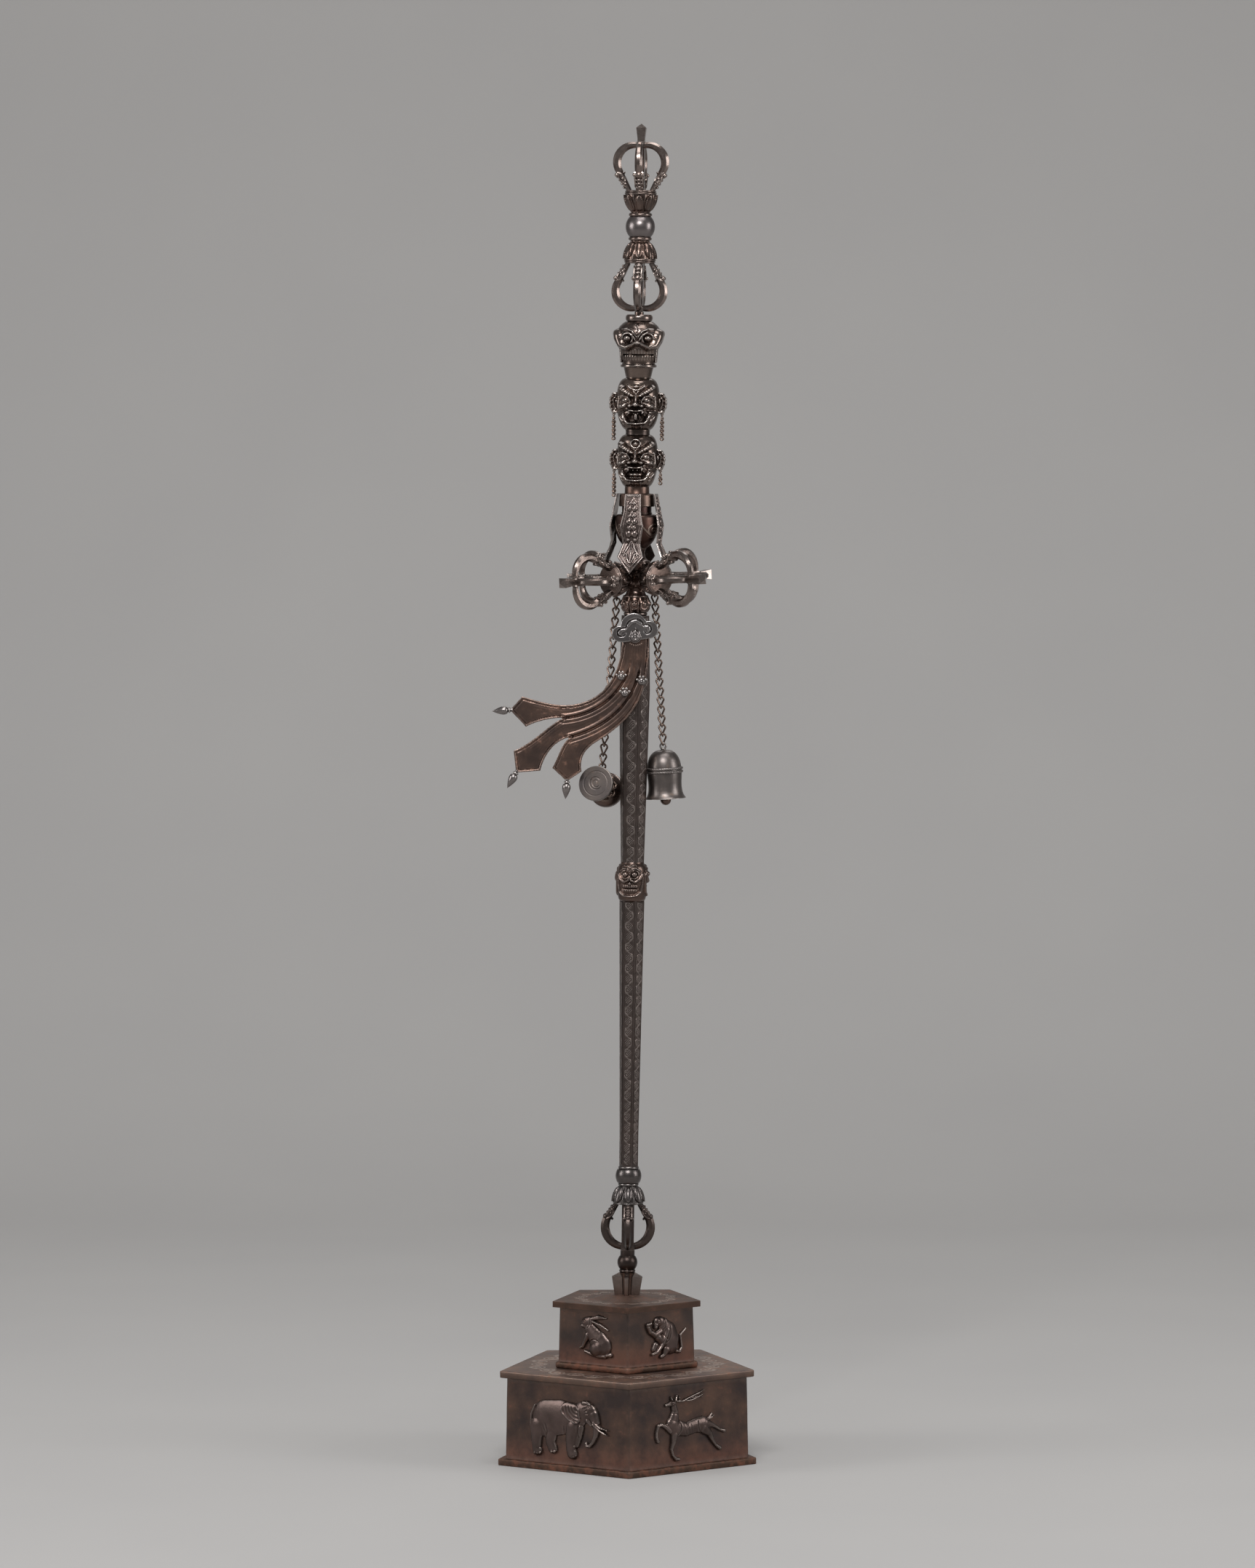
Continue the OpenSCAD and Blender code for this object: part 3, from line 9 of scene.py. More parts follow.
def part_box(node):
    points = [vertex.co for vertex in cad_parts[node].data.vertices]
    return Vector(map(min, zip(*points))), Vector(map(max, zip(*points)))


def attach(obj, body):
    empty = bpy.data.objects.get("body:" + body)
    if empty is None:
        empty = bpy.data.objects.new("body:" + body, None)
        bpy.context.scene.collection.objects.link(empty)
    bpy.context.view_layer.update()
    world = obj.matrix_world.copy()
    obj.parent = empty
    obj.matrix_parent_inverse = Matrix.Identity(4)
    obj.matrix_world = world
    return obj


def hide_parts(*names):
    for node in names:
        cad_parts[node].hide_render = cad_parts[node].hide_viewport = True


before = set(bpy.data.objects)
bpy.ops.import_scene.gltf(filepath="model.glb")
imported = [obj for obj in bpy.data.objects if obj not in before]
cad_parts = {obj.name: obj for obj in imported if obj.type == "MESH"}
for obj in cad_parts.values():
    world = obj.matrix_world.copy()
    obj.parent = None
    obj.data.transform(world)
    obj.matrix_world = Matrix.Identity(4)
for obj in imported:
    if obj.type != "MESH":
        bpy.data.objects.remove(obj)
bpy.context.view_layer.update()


def spun(degrees, axis="Z"):
    return Matrix.Rotation(radians(degrees), 4, axis)


def lift(z, turn=0):
    """Moves a piece up the staff by z and turns it to the viewer's left"""
    return Matrix.Translation((0, 0, z)) @ spun(-turn)


# The photograph's view: 1725 x 2156, from a little above the vase
LENS, FILM, FARTHEST = 170.8, 36, 60
EYE = (0.00245, -7.67174, 1.18078)
LOOK_DOWN, ROLL = 3.571, -0.0995

camera = bpy.data.objects.new("camera", bpy.data.cameras.new("camera"))
camera.data.lens, camera.data.sensor_width, camera.data.clip_end = LENS, FILM, FARTHEST
camera.matrix_world = Matrix.Translation(EYE) @ spun(90 - LOOK_DOWN, "X") @ spun(ROLL)
bpy.context.collection.objects.link(camera)
bpy.context.scene.camera = camera

# Heights and sizes of the stack in millimetres, staff standing straight
LOW_RIM_Z, LOW_LOTUS_TOP, LOW_BALL_Z, LOW_SHAFT_Z = 266.2, 284.8, 288.2, 305.6
KNOB_Z, UP_SHAFT_Z, NECK_RING_Z, CROSS_Z = 581.8, 619.6, 876.3, 914.2
BALUSTER_Z, VASE_Z, CANOPY_Z, LOW_NECK_Z = 930.3, 945.9, 988.8, 1002.1
LOW_HEAD_Z, UP_HEAD_Z, SKULL_Z, CAP_Z = 1009.3, 1067.6, 1131.9, 1178.9
GRIP_Z, GRIP_H, TOP_CROWN_Z = 1239.3, 73.9, 1313.2
LOW_HEAD_R, UP_HEAD_R, HEAD_H, NECK_R, EAR_REACH = 21.3, 22.3, 53.6, 12.8, 2.7
RIVET_Z, PLATE_BACK, RIBBON_T, PLAQUE_T = 856.0, -15.7, 3.0, 2.6
LOW_WALL_R, LOW_WALL_H, LOW_WALL_Z = 132, 83.8, 7
HIGH_WALL_R, HIGH_WALL_H, HIGH_WALL_Z, WALL_SLANT = 74.2, 56.6, 105.1, 1.5
HEAD_TURN, SHAFT_TURN, STAND_TURN = 6, 12, 1.2
LEAN_PIVOT, STAFF_LEAN = 99.9, 0.81

MM = 0.001
WELD = 0.004
FACING = Matrix.Rotation(pi / 2, 4, "X")
FLIP = Matrix.Rotation(pi, 4, "X")
MIRROR = Matrix.Diagonal((-1, 1, 1, 1))
LEAN = lift(LEAN_PIVOT) @ spun(STAFF_LEAN, "Y") @ lift(-LEAN_PIVOT)


# Finishes

def srgb(code):
    """A hex colour as linear light"""
    parts = [int(code[i:i + 2], 16) / 255 for i in (1, 3, 5)]
    return [c / 12.92 if c <= 0.04045 else ((c + 0.055) / 1.055) ** 2.4 for c in parts] + [1]


def add(tree, kind, inputs=(), out=0, **settings):
    """Adds a node, sets it, fills or links its inputs by order or name and gives its output"""
    node = tree.nodes.new("ShaderNode" + kind)
    for name, value in settings.items():
        setattr(node, name, value)
    for name, value in inputs.items() if isinstance(inputs, dict) else enumerate(inputs):
        if isinstance(value, Field):
            tree.links.new(value.socket, node.inputs[name])
        else:
            node.inputs[name].default_value = value
    return Field(tree, node.outputs[out])


class Field:
    """A value that varies over a surface, so that patterns can be written as sums"""

    def __init__(self, tree, socket):
        self.tree, self.socket = tree, socket

    def into(self, kind, *others, **settings):
        """Leads it into a node, as the first of its inputs"""
        return add(self.tree, kind, (self, *others), **settings)

    def __add__(self, other):
        return self.into("Math", other, operation="ADD")

    def __mul__(self, other):
        return self.into("Math", other, operation="MULTIPLY")

    def __sub__(self, other):
        return self.into("Math", other, operation="SUBTRACT")

    def __rsub__(self, other):
        return add(self.tree, "Math", (other, self), operation="SUBTRACT")

    __radd__, __rmul__ = __add__, __mul__


def running_scroll(along, across, repeat, veined=False):
    """Height 0..1 of chased scrolls that curl to either side of a winding stem, in millimetres"""
    vein = repeat * 0.2
    cell = along.into("Math", repeat, operation="DIVIDE").into("Math", operation="FLOOR")
    side = 1.0 - 2.0 * cell.into("Math", 2.0, operation="FLOORED_MODULO")
    down = along - (cell + 0.5) * repeat
    over = across - side * (repeat * 0.09)
    far = (over * over + down * down).into("Math", operation="SQRT")
    coil = far * (tau / vein) - side * over.into("Math", down, operation="ARCTAN2")
    curl = (coil.into("Math", operation="COSINE").into("MapRange", -0.2, 0.5)
            * far.into("MapRange", repeat * 0.46, repeat * 0.4))
    sway = (along * (pi / repeat)).into("Math", operation="SINE") * (repeat * 0.4)
    stem = (across - sway).into("Math", operation="ABSOLUTE")
    stem = stem.into("MapRange", repeat * 0.09, repeat * 0.05)
    if veined:
        inner = (over * side).into("MapRange", repeat * 0.02, -repeat * 0.02)
        veins = ((along * 0.9 + across) * (tau / vein)).into("Math", operation="COSINE")
        leaf = (veins.into("MapRange", 0.0, 0.6)
                * far.into("MapRange", repeat * 0.44, repeat * 0.38))
        curl = curl * (1.0 - inner) + leaf * inner
    return curl.into("Math", stem, operation="MAXIMUM")


def forged_iron(name, dark, brown, rust, rubbed, rusting, rubbing, gloss, chasing=None,
                chased=0.5, foot=None, top=None):
    """Forged, waxed and handled iron: brown-black skin, rust in the hollows, painted shade that
    darkens the hollows, and bare metal where hands and cloth have rubbed the raised places.
    Rust climbs from a foot's height and plates get painted shade below their top"""
    metal = bpy.data.materials.new(name)
    metal.use_nodes = True
    tree = metal.node_tree
    spot = add(tree, "TexCoord", out="Object")
    worn_and_shaded = add(tree, "Attribute", out=2, attribute_name="wear_and_shade")
    cloud, blotch, grain = (
        add(tree, "TexNoise", {"Vector": spot, "Scale": 1 / (spacing * MM), "Detail": detail,
                               "Roughness": rough})
        for spacing, detail, rough in ((28, 4.0, 0.55), (7, 5.0, 0.65), (1.1, 3.0, 0.7)))
    height_above = add(tree, "SeparateXYZ", [spot], out="Z")
    raised, sunk = worn_and_shaded.into("MapRange", 0.05, 0.75), worn_and_shaded.into("MapRange", -0.02, -0.5)
    patch = blotch * 0.7 + cloud * 0.3
    rusty = (patch + sunk * 0.22).into("MapRange", 0.70 - rusting, 0.92 - rusting)
    if foot is not None:
        damp = height_above.into("MapRange", (foot + 26) * MM, foot * MM, 0.0, 0.65)
        damp = damp * patch.into("MapRange", 0.3, 0.62, 0.35, 1.0)
        rusty = rusty.into("Math", damp, operation="MAXIMUM")
    rub = raised * rubbing * (grain + blotch).into("MapRange", 0.7, 1.15, 0.5, 1.0)
    height = grain * 0.05 + blotch * 0.18
    if chasing is not None:
        drawn = chasing(tree, spot)
        rub = rub.into("Math", drawn * chased, operation="MAXIMUM")
        height = height + drawn * 0.8
    # The last layer is painted shade: near-black where the surface lies in a hollow
    layers = [(cloud.into("MapRange", 0.36, 0.64), brown), (rusty, rust),
              (rub.into("Math", 1.0, operation="MINIMUM"), rubbed), (sunk * 0.6, "#1a1310")]
    if top is not None:
        # Painted shade: the plate's sides below its top face are coloured darker
        painted_shade_below = height_above.into("MapRange", top - 0.5 * MM, top - 1.5 * MM, 0.0, 0.5)
        layers.append((painted_shade_below, "#33251f"))
    colour = srgb(dark)
    for share, coat in layers:
        colour = add(tree, "Mix", {0: share, 6: colour, 7: srgb(coat)}, 2, data_type="RGBA")
    rough = (rusty * 0.25 + gloss) + (grain * 0.10 + raised * rubbing * -0.1)
    bump = add(tree, "Bump", {"Height": height * MM, "Strength": 1.0, "Distance": 1.0})
    for socket, value in {"Base Color": colour, "Metallic": 0.96 - rusty * 0.55,
                          "Roughness": rough, "Normal": bump}.items():
        tree.links.new(value.socket, tree.nodes["Principled BSDF"].inputs[socket])
    return metal


def panel_scrolls(tree, spot):
    """Scrolls up the shaft's panels, from the piece's own map in millimetres"""
    panel = add(tree, "Attribute", out=1, attribute_name="panel")
    across, along, inside = (add(tree, "SeparateXYZ", [panel], out=axis) for axis in "XYZ")
    return running_scroll(along, across, 11.0, True) * inside


def ring_scrolls(middle, half):
    """Scrolls in a ring round the staff on a flat plate"""
    def drawn(tree, spot):
        x, y = (add(tree, "SeparateXYZ", [spot], out=axis) * 1000.0 for axis in "XY")
        around = x.into("Math", y * -1.0, operation="ARCTAN2") * middle
        across = (x * x + y * y).into("Math", operation="SQRT") - middle
        band = across.into("Math", operation="ABSOLUTE").into("MapRange", half + 1.0, half)
        return running_scroll(around, across, half * 1.9) * band
    return drawn


def leaf_scrolls(tree, spot):
    """Shallow leaf scrolls round the vase"""
    x, y, z = (add(tree, "SeparateXYZ", [spot], out=axis) * 1000.0 for axis in "XYZ")
    around = x.into("Math", y * -1.0, operation="ARCTAN2") * 22.0
    return running_scroll(around, z - (VASE_Z + 20.0), 17.3)


# Each finish: its dark and brown skin, rust and rubbed metal, then rusting, rubbing and gloss
DARK = forged_iron("dark_iron", "#504540", "#69564e", "#6a4c3e", "#b3a8a2", 0.10, 0.90, 0.21)
FACE = forged_iron("polished_dark_iron", "#5b504b", "#75675f", "#6c5245", "#cbc3be",
                   0.06, 1.00, 0.15)
# Soot-black iron, also used on the neck ring under the upper head as painted shadow
SOOT_AND_SHADE = forged_iron("soot_black_and_shade_iron", "#362e2b", "#483d39", "#4c3a31", "#7d736e",
                    0.10, 0.55, 0.30)
CHASED = forged_iron("chased_iron", "#433a37", "#4f4440", "#5a4439", "#a89d97",
                     0.08, 0.70, 0.30, panel_scrolls, 0.55)
BROWN = forged_iron("brown_iron", "#483a34", "#5e4b43", "#664a3e", "#a09085", 0.12, 0.60, 0.27)
ENGRAVED = forged_iron("engraved_iron", "#443330", "#58423a", "#63463a", "#aa998d",
                       0.12, 0.70, 0.32, leaf_scrolls)
BRIGHT = forged_iron("burnished_iron", "#645e5d", "#787170", "#6b544a", "#b9b3af",
                     0.05, 0.80, 0.26)
BELL = forged_iron("bell_iron", "#5d5755", "#7a726e", "#7d6654", "#d0cac6", 0.12, 0.80, 0.31)
DULL = forged_iron("dull_burnished_iron", "#4f4a49", "#625c5a", "#5f4a40", "#b5afab",
                   0.06, 0.80, 0.24)
STEEL = forged_iron("polished_steel", "#696362", "#807876", "#735749", "#dad4d0",
                    0.03, 0.90, 0.24)
COPPERY = forged_iron("copper_brown_iron", "#3d2f29", "#544239", "#66483a", "#a89488",
                      0.14, 0.85, 0.28)
WALL = forged_iron("wall_iron", "#423937", "#5d4a41", "#774c3d", "#988b83", 0.11, 0.60, 0.42,
                   foot=LOW_WALL_Z)
WALL_HIGH = forged_iron("wall_iron_high", "#443b38", "#5d4a41", "#774c3d", "#988b83",
                        0.11, 0.60, 0.42, foot=HIGH_WALL_Z)
RELIEF = forged_iron("rubbed_relief_iron", "#4c413d", "#635450", "#5f4438", "#ada29b",
                     0.10, 0.90, 0.27)
RUSTY = forged_iron("rusted_iron", "#46372f", "#584238", "#764530", "#9f8b7e", 0.24, 0.50, 0.48)
RIBBON = forged_iron("ribbon_iron", "#594b46", "#755f55", "#8a6350", "#b29f94", 0.13, 0.40, 0.30)
LAPPETS = forged_iron("grey_brown_iron", "#5e5450", "#786a65", "#6f594d", "#c6bdb8",
                      0.06, 0.90, 0.21)
PLAQUE = forged_iron("steel_grey_iron", "#726d6c", "#898483", "#6f5d56", "#d8d5d3",
                     0.03, 0.80, 0.24)
DRUM_FACE = forged_iron("drum_face_iron", "#575150", "#6b625d", "#85614d", "#aaa29b",
                        0.10, 0.70, 0.40)
# Both top plates get painted shade on their sides below the top face
TOP_LOW = forged_iron("rusted_iron_low_top", "#70605a", "#8a7366", "#95644f", "#d6c8bd",
                      0.16, 0.15, 0.42, ring_scrolls(92.0, 12.0), 0.38,
                      top=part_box("lower_top_plate")[1][2])
TOP_HIGH = forged_iron("rusted_iron_high_top", "#574840", "#6d564b", "#7e4f3c", "#c6b8ad",
                       0.16, 0.15, 0.44, ring_scrolls(47.0, 7.0), 0.38,
                       top=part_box("upper_top_plate")[0][2] + 6.6 * MM)


# Making pieces

def wear_and_shade_of(mesh, keen):
    """Marks how far each point stands out (+) or lies in a hollow (-): the raised places get
    lighter wear, the hollows painted shade
    """
    count = len(mesh.vertices)
    spot, out = np.empty(count * 3), np.empty(count * 3)
    mesh.vertices.foreach_get("co", spot)
    mesh.vertices.foreach_get("normal", out)
    spot, out = spot.reshape(-1, 3) / MM, out.reshape(-1, 3)
    ends = np.empty(len(mesh.edges) * 2, int)
    mesh.edges.foreach_get("vertices", ends)
    here = np.concatenate([ends[::2], ends[1::2]])
    there = np.concatenate([ends[1::2], ends[::2]])
    step = spot[there] - spot[here]
    size = np.maximum(np.linalg.norm(step, axis=1), 1e-6)
    links = np.maximum(np.bincount(here, minlength=count), 1)
    climb = np.einsum("ij,ij->i", step / size[:, None], out[here])
    bend = -np.bincount(here, climb, count) / links
    span = np.bincount(here, size, count) / links
    wear_and_shade = np.tanh(keen * (1.2 * bend + 1.1 * bend / np.maximum(span, 0.25)))
    for _ in range(3):
        wear_and_shade = 0.5 * wear_and_shade + 0.5 * np.bincount(here, wear_and_shade[there], count) / links
    mark = mesh.attributes.new("wear_and_shade", "FLOAT", "POINT")
    mark.data.foreach_set("value", wear_and_shade.astype(np.float32))


def place(name, bm, metal, *nodes, body="staff", at=Matrix(), leaning=True, crease=40, keen=1.0):
    """Closes a piece's mesh, puts it where it belongs and gives it its body and finish"""
    move(bm, bm.verts[:], at)
    bmesh.ops.remove_doubles(bm, verts=bm.verts, dist=WELD)
    bmesh.ops.recalc_face_normals(bm, faces=bm.faces)
    for face in bm.faces:
        face.smooth = True
    mesh = bpy.data.meshes.new(name)
    bm.to_mesh(mesh)
    bm.free()
    mesh.transform(Matrix.Scale(MM, 4) @ (LEAN if leaning else Matrix()))
    mesh.set_sharp_from_angle(angle=radians(crease))
    wear_and_shade_of(mesh, keen)
    piece = bpy.data.objects.new(name, mesh)
    bpy.context.collection.objects.link(piece)
    mesh.materials.append(metal)
    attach(piece, body)
    if nodes:
        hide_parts(*nodes)


def move(bm, points, matrix):
    bmesh.ops.transform(bm, matrix=matrix, verts=points)


def added(bm, old):
    return [v for v in bm.verts if v not in old]


def made_once(build, *sizes):
    """Builds a shape that is used again, as a mesh"""
    bm = bmesh.new()
    build(bm, *sizes)
    mesh = bpy.data.meshes.new(build.__name__)
    bm.to_mesh(mesh)
    bm.free()
    return mesh


def set_in(bm, mesh, *matrices):
    """Sets copies of a shape into a piece"""
    for matrix in matrices:
        copy = mesh.copy()
        copy.transform(matrix)
        bm.from_mesh(copy)
        bpy.data.meshes.remove(copy)


def curve(p, n=8):
    """A smooth curve between four guide points, in n steps"""
    p = np.array(p, float)
    t = np.linspace(0, 1, n + 1)[:, None]
    return ((1 - t) ** 3 * p[0] + 3 * (1 - t) ** 2 * t * p[1] + 3 * (1 - t) * t * t * p[2]
            + t ** 3 * p[3]).tolist()


def fine(outline, step):
    """The same outline in steps no longer than step"""
    points = [outline[0]]
    for a, b in zip(outline, outline[1:]):
        n = max(1, round(np.hypot(b[0] - a[0], b[1] - a[1]) / step))
        points += [(a[0] + (b[0] - a[0]) * i / n, a[1] + (b[1] - a[1]) * i / n)
                   for i in range(1, n + 1)]
    return points


def turned(bm, outline, steps=96):
    """Rolls a grid into a round skin with the given outline of radius and height"""
    last = len(outline) - 1
    points = bmesh.ops.create_grid(bm, x_segments=steps, y_segments=last, size=1)["verts"]
    for v in points:
        r, z = outline[round((v.co.y + 1) / 2 * last)]
        a = (v.co.x + 1) / 2 * tau
        v.co = r * cos(a), r * sin(a), z
    return points


def ring_outline(r, h, z=0.0, inner=0.0):
    """A ring with a rounded outer edge"""
    a = np.linspace(-pi / 2, pi / 2, 13)
    edge = [(r - h / 2 + h / 2 * cos(t), z + h / 2 + h / 2 * sin(t)) for t in a]
    return [(inner, z)] + edge + [(inner, z + h)]


def ball_outline(r, h, z=0.0):
    """A ball cut flat at both ends"""
    a = np.linspace(-1, 1, 33) * np.arcsin(min(1, h / 2 / r))
    return [(0, z)] + [(r * cos(t), z + h / 2 + r * sin(t)) for t in a] + [(0, z + h)]


def turned_piece(name, node, metal, at, *outlines, steps=96):
    """A piece of one or more round skins"""
    bm = bmesh.new()
    for outline in outlines:
        turned(bm, outline, steps)
    place(name, bm, metal, *node, at=at)


def hoop(x, z, r, steps):
    """Points round an upright ring"""
    return [(x + r * cos(a), 0, z + r * sin(a)) for a in np.linspace(0, tau, steps + 1)[:-1]]


def rod(bm, path, sizes, sides=8, flat=1.0, closed=False, square=False):
    """Sweeps a ring along a path in the x z plane, or round a closed path"""
    path = [Vector(p) for p in path]
    middle = sum(path, Vector()) / len(path)
    old = set(bm.verts)
    sizes = sizes if isinstance(sizes, (list, tuple)) else [sizes] * len(path)
    poses = []
    for i, spot in enumerate(path):
        after = path[(i + 1) % len(path)] if closed else path[min(i + 1, len(path) - 1)]
        before = path[i - 1] if closed or i else path[0]
        way = (after - before).normalized()
        side = way.cross(spot - middle if closed else Vector((0, 1, 0))).normalized()
        wide, thick = (sizes[i] if isinstance(sizes[i], (list, tuple))
                       else (sizes[i], sizes[i] * flat))
        turn = Matrix((side, side.cross(way), way)).transposed().to_4x4()
        poses.append(Matrix.Translation(spot) @ turn @ Matrix.Diagonal((wide, thick, 1, 1)))
    spin = Matrix.Rotation(pi / sides, 4, "Z") if square else Matrix()
    ring = bmesh.ops.create_circle(bm, radius=1, segments=sides, matrix=poses[0] @ spin)["verts"]
    edges = list(dict.fromkeys(e for v in ring for e in v.link_edges))
    if not closed:
        bmesh.ops.edgeloop_fill(bm, edges=edges)
    for before, after in zip(poses, poses[1:] + poses[:1] * closed):
        new = bmesh.ops.extrude_edge_only(bm, edges=edges)["geom"]
        edges = [g for g in new if isinstance(g, bmesh.types.BMEdge)]
        ring = [g for g in new if isinstance(g, bmesh.types.BMVert)]
        move(bm, ring, after @ before.inverted())
    if not closed:
        bmesh.ops.edgeloop_fill(bm, edges=edges)
    return added(bm, old)


def ball(bm, spot, r, stretch=(1, 1, 1), steps=20):
    """A small round boss"""
    at = Matrix.Translation(spot) @ Matrix.Diagonal((*stretch, 1))
    return bmesh.ops.create_uvsphere(bm, u_segments=steps, v_segments=steps // 2, radius=r,
                                     matrix=at)["verts"]


def strokes(x, z, path, power=0.5):
    """How deep each point lies inside a tapering stroke, and how high its round back is there;
    the path's points are x, z, half width and height"""
    deep, high = np.full(x.shape, -1e3), np.zeros(x.shape)
    for (ax, az, aw, ah), (bx, bz, bw, bh) in zip(path, path[1:]):
        t = np.clip(((x - ax) * (bx - ax) + (z - az) * (bz - az))
                    / max((bx - ax) ** 2 + (bz - az) ** 2, 1e-9), 0, 1)
        width = aw + (bw - aw) * t
        away = np.hypot(x - ax - (bx - ax) * t, z - az - (bz - az) * t)
        deep = np.maximum(deep, width - away)
        back = np.clip(1 - (away / np.maximum(width, 1e-9)) ** 2, 0, 1) ** power
        high = np.maximum(high, (ah + (bh - ah) * t) * back)
    return deep, high


def stroke(x, z, *path):
    return strokes(x, z, path)[1]


def fold(x, z, *path):
    """A soft-sided stroke on both sides of the middle"""
    return strokes(np.abs(x), z, path, 1.1)[1]


def dome(x, z, cx, cz, rx, rz, high):
    return high * np.sqrt(np.clip(1 - ((x - cx) / rx) ** 2 - ((z - cz) / rz) ** 2, 0, 1))


def mound(x, z, cx, cz, rx, rz, high):
    """A dome that runs softly into the ground"""
    return high * np.clip(1 - ((np.abs(x) - cx) / rx) ** 2 - ((z - cz) / rz) ** 2, 0, 1) ** 0.8


def joined(heights):
    """Raised forms that flow into each other"""
    return sum(np.maximum(h, 0) ** 4 for h in heights) ** 0.25


def hump(x, z, cx, cz, rx, rz, high):
    """A soft swelling without an edge"""
    return high * np.exp(-((x - cx) / rx) ** 2 - ((z - cz) / rz) ** 2)


def circle(x, z, cx, cz, r, width, high):
    """A raised ring"""
    away = np.abs(np.hypot(x - cx, z - cz) - r)
    return high * np.sqrt(np.clip(1 - (away / width) ** 2, 0, 1))


def from_edge(x, z, outline):
    """Distance of each point from a closed outline, above nothing inside and below it outside"""
    far, inside = np.full(x.shape, 1e6), np.zeros(x.shape, bool)
    for (ax, az), (bx, bz) in zip(outline, outline[1:] + outline[:1]):
        run = max((bx - ax) ** 2 + (bz - az) ** 2, 1e-9)
        t = np.clip(((x - ax) * (bx - ax) + (z - az) * (bz - az)) / run, 0, 1)
        far = np.minimum(far, np.hypot(x - ax - (bx - ax) * t, z - az - (bz - az) * t))
        if az != bz:
            crossing = ax + (z - az) * (bx - ax) / (bz - az)
            inside ^= ((az > z) != (bz > z)) & (x < crossing)
    return np.where(inside, far, -far)


def from_line(x, z, line):
    """Distance of each point from an open line"""
    return -strokes(x, z, [(px, pz, 0.0, 0.0) for px, pz in line])[0]


def ridge(away, width):
    return np.exp(-(away / width) ** 2)


def rounded(deep, width):
    """A quarter-round edge, 0..1 over its width"""
    return np.sqrt(np.clip(1 - np.clip(1 - deep / width, 0, 1) ** 2, 0, 1))


def grooves(x, z, *cuts):
    """Chased lines, each with its depth, its half width and its points"""
    return sum(deep * ridge(from_line(x, z, line), width) for deep, width, line in cuts)


def crowd(points, share):
    """Draws the points of a round skin together in front, where its face is"""
    for v in points:
        r, a = np.hypot(v.co.x, v.co.y), np.arctan2(v.co.x, -v.co.y)
        if r > 1e-6:
            a -= share * sin(a)
            v.co.x, v.co.y = r * sin(a), -r * cos(a)


def swell(points, field, faces=1):
    """Pushes a round skin outwards by field(x, z, angle), x across the face in front"""
    spots = np.array([v.co[:] for v in points])
    r = np.hypot(spots[:, 0], spots[:, 1])
    a = np.arctan2(spots[:, 0], -spots[:, 1])
    near = (a + pi / faces) % (tau / faces) - pi / faces
    grown = r + field(r * np.sin(near), spots[:, 2], near) * (r > 1.0)
    for v, new, angle in zip(points, grown, a):
        v.co.x, v.co.y = new * sin(angle), -new * cos(angle)


def soften(bm, times, where):
    """Files carving smooth at the points the test picks"""
    bmesh.ops.remove_doubles(bm, verts=bm.verts, dist=WELD)
    worked = [v for v in bm.verts if where(v.co)]
    for _ in range(times):
        bmesh.ops.smooth_vert(bm, verts=worked, factor=0.5, use_axis_x=True, use_axis_y=True,
                              use_axis_z=True)


def carved(bm, edge, height, low, high, step, back=0.0):
    """Lays a grid over low..high in x and z, cuts it at the edge, lifts it to the viewer by its
    height and closes it with a flat back"""
    old = set(bm.verts)
    size = [high[i] - low[i] for i in (0, 1)]
    count = [max(2, round(s / step)) for s in size]
    put = (Matrix.Translation(((low[0] + high[0]) / 2, 0, (low[1] + high[1]) / 2))
           @ FACING @ Matrix.Diagonal((size[0] / 2, size[1] / 2, 1, 1)))
    points = bmesh.ops.create_grid(bm, x_segments=count[0], y_segments=count[1], size=1,
                                   matrix=put)["verts"]
    x, z = (np.array([v.co[i] for v in points]) for i in (0, 2))
    deep = edge(x, z)
    gx = (edge(x + 0.05, z) - edge(x - 0.05, z)) / 0.1
    gz = (edge(x, z + 0.05) - edge(x, z - 0.05)) / 0.1
    slope = np.maximum(gx * gx + gz * gz, 0.05)
    near = (deep < 0.45 * step) & (deep > -0.6 * step)
    x = np.where(near, x - deep * gx / slope, x)
    z = np.where(near, z - deep * gz / slope, z)
    for v, px, py, pz in zip(points, x, -height(x, z), z):
        v.co = px, py, pz
    outside = [v for v, d in zip(points, deep) if d <= -0.6 * step]
    bmesh.ops.delete(bm, geom=outside, context="VERTS")
    rim = list(dict.fromkeys(e for v in added(bm, old) for e in v.link_edges if e.is_boundary))
    new = bmesh.ops.extrude_edge_only(bm, edges=rim)["geom"]
    for g in new:
        if isinstance(g, bmesh.types.BMVert):
            g.co.y = back
    bmesh.ops.edgeloop_fill(bm, edges=[g for g in new if isinstance(g, bmesh.types.BMEdge)])
    return added(bm, old)


def rise(edge):
    return abs(edge.verts[0].co.z - edge.verts[1].co.z)


def corner_to(bm, angle):
    """Turns a many-sided prism until its first corner lies at the angle"""
    bm.verts.ensure_lookup_table()
    first = bm.verts[0].co
    move(bm, bm.verts[:], Matrix.Rotation(angle - np.arctan2(first.y, first.x), 4, "Z"))


# Vajra parts, standing on z = 0 and pointing up

PETALS = 8


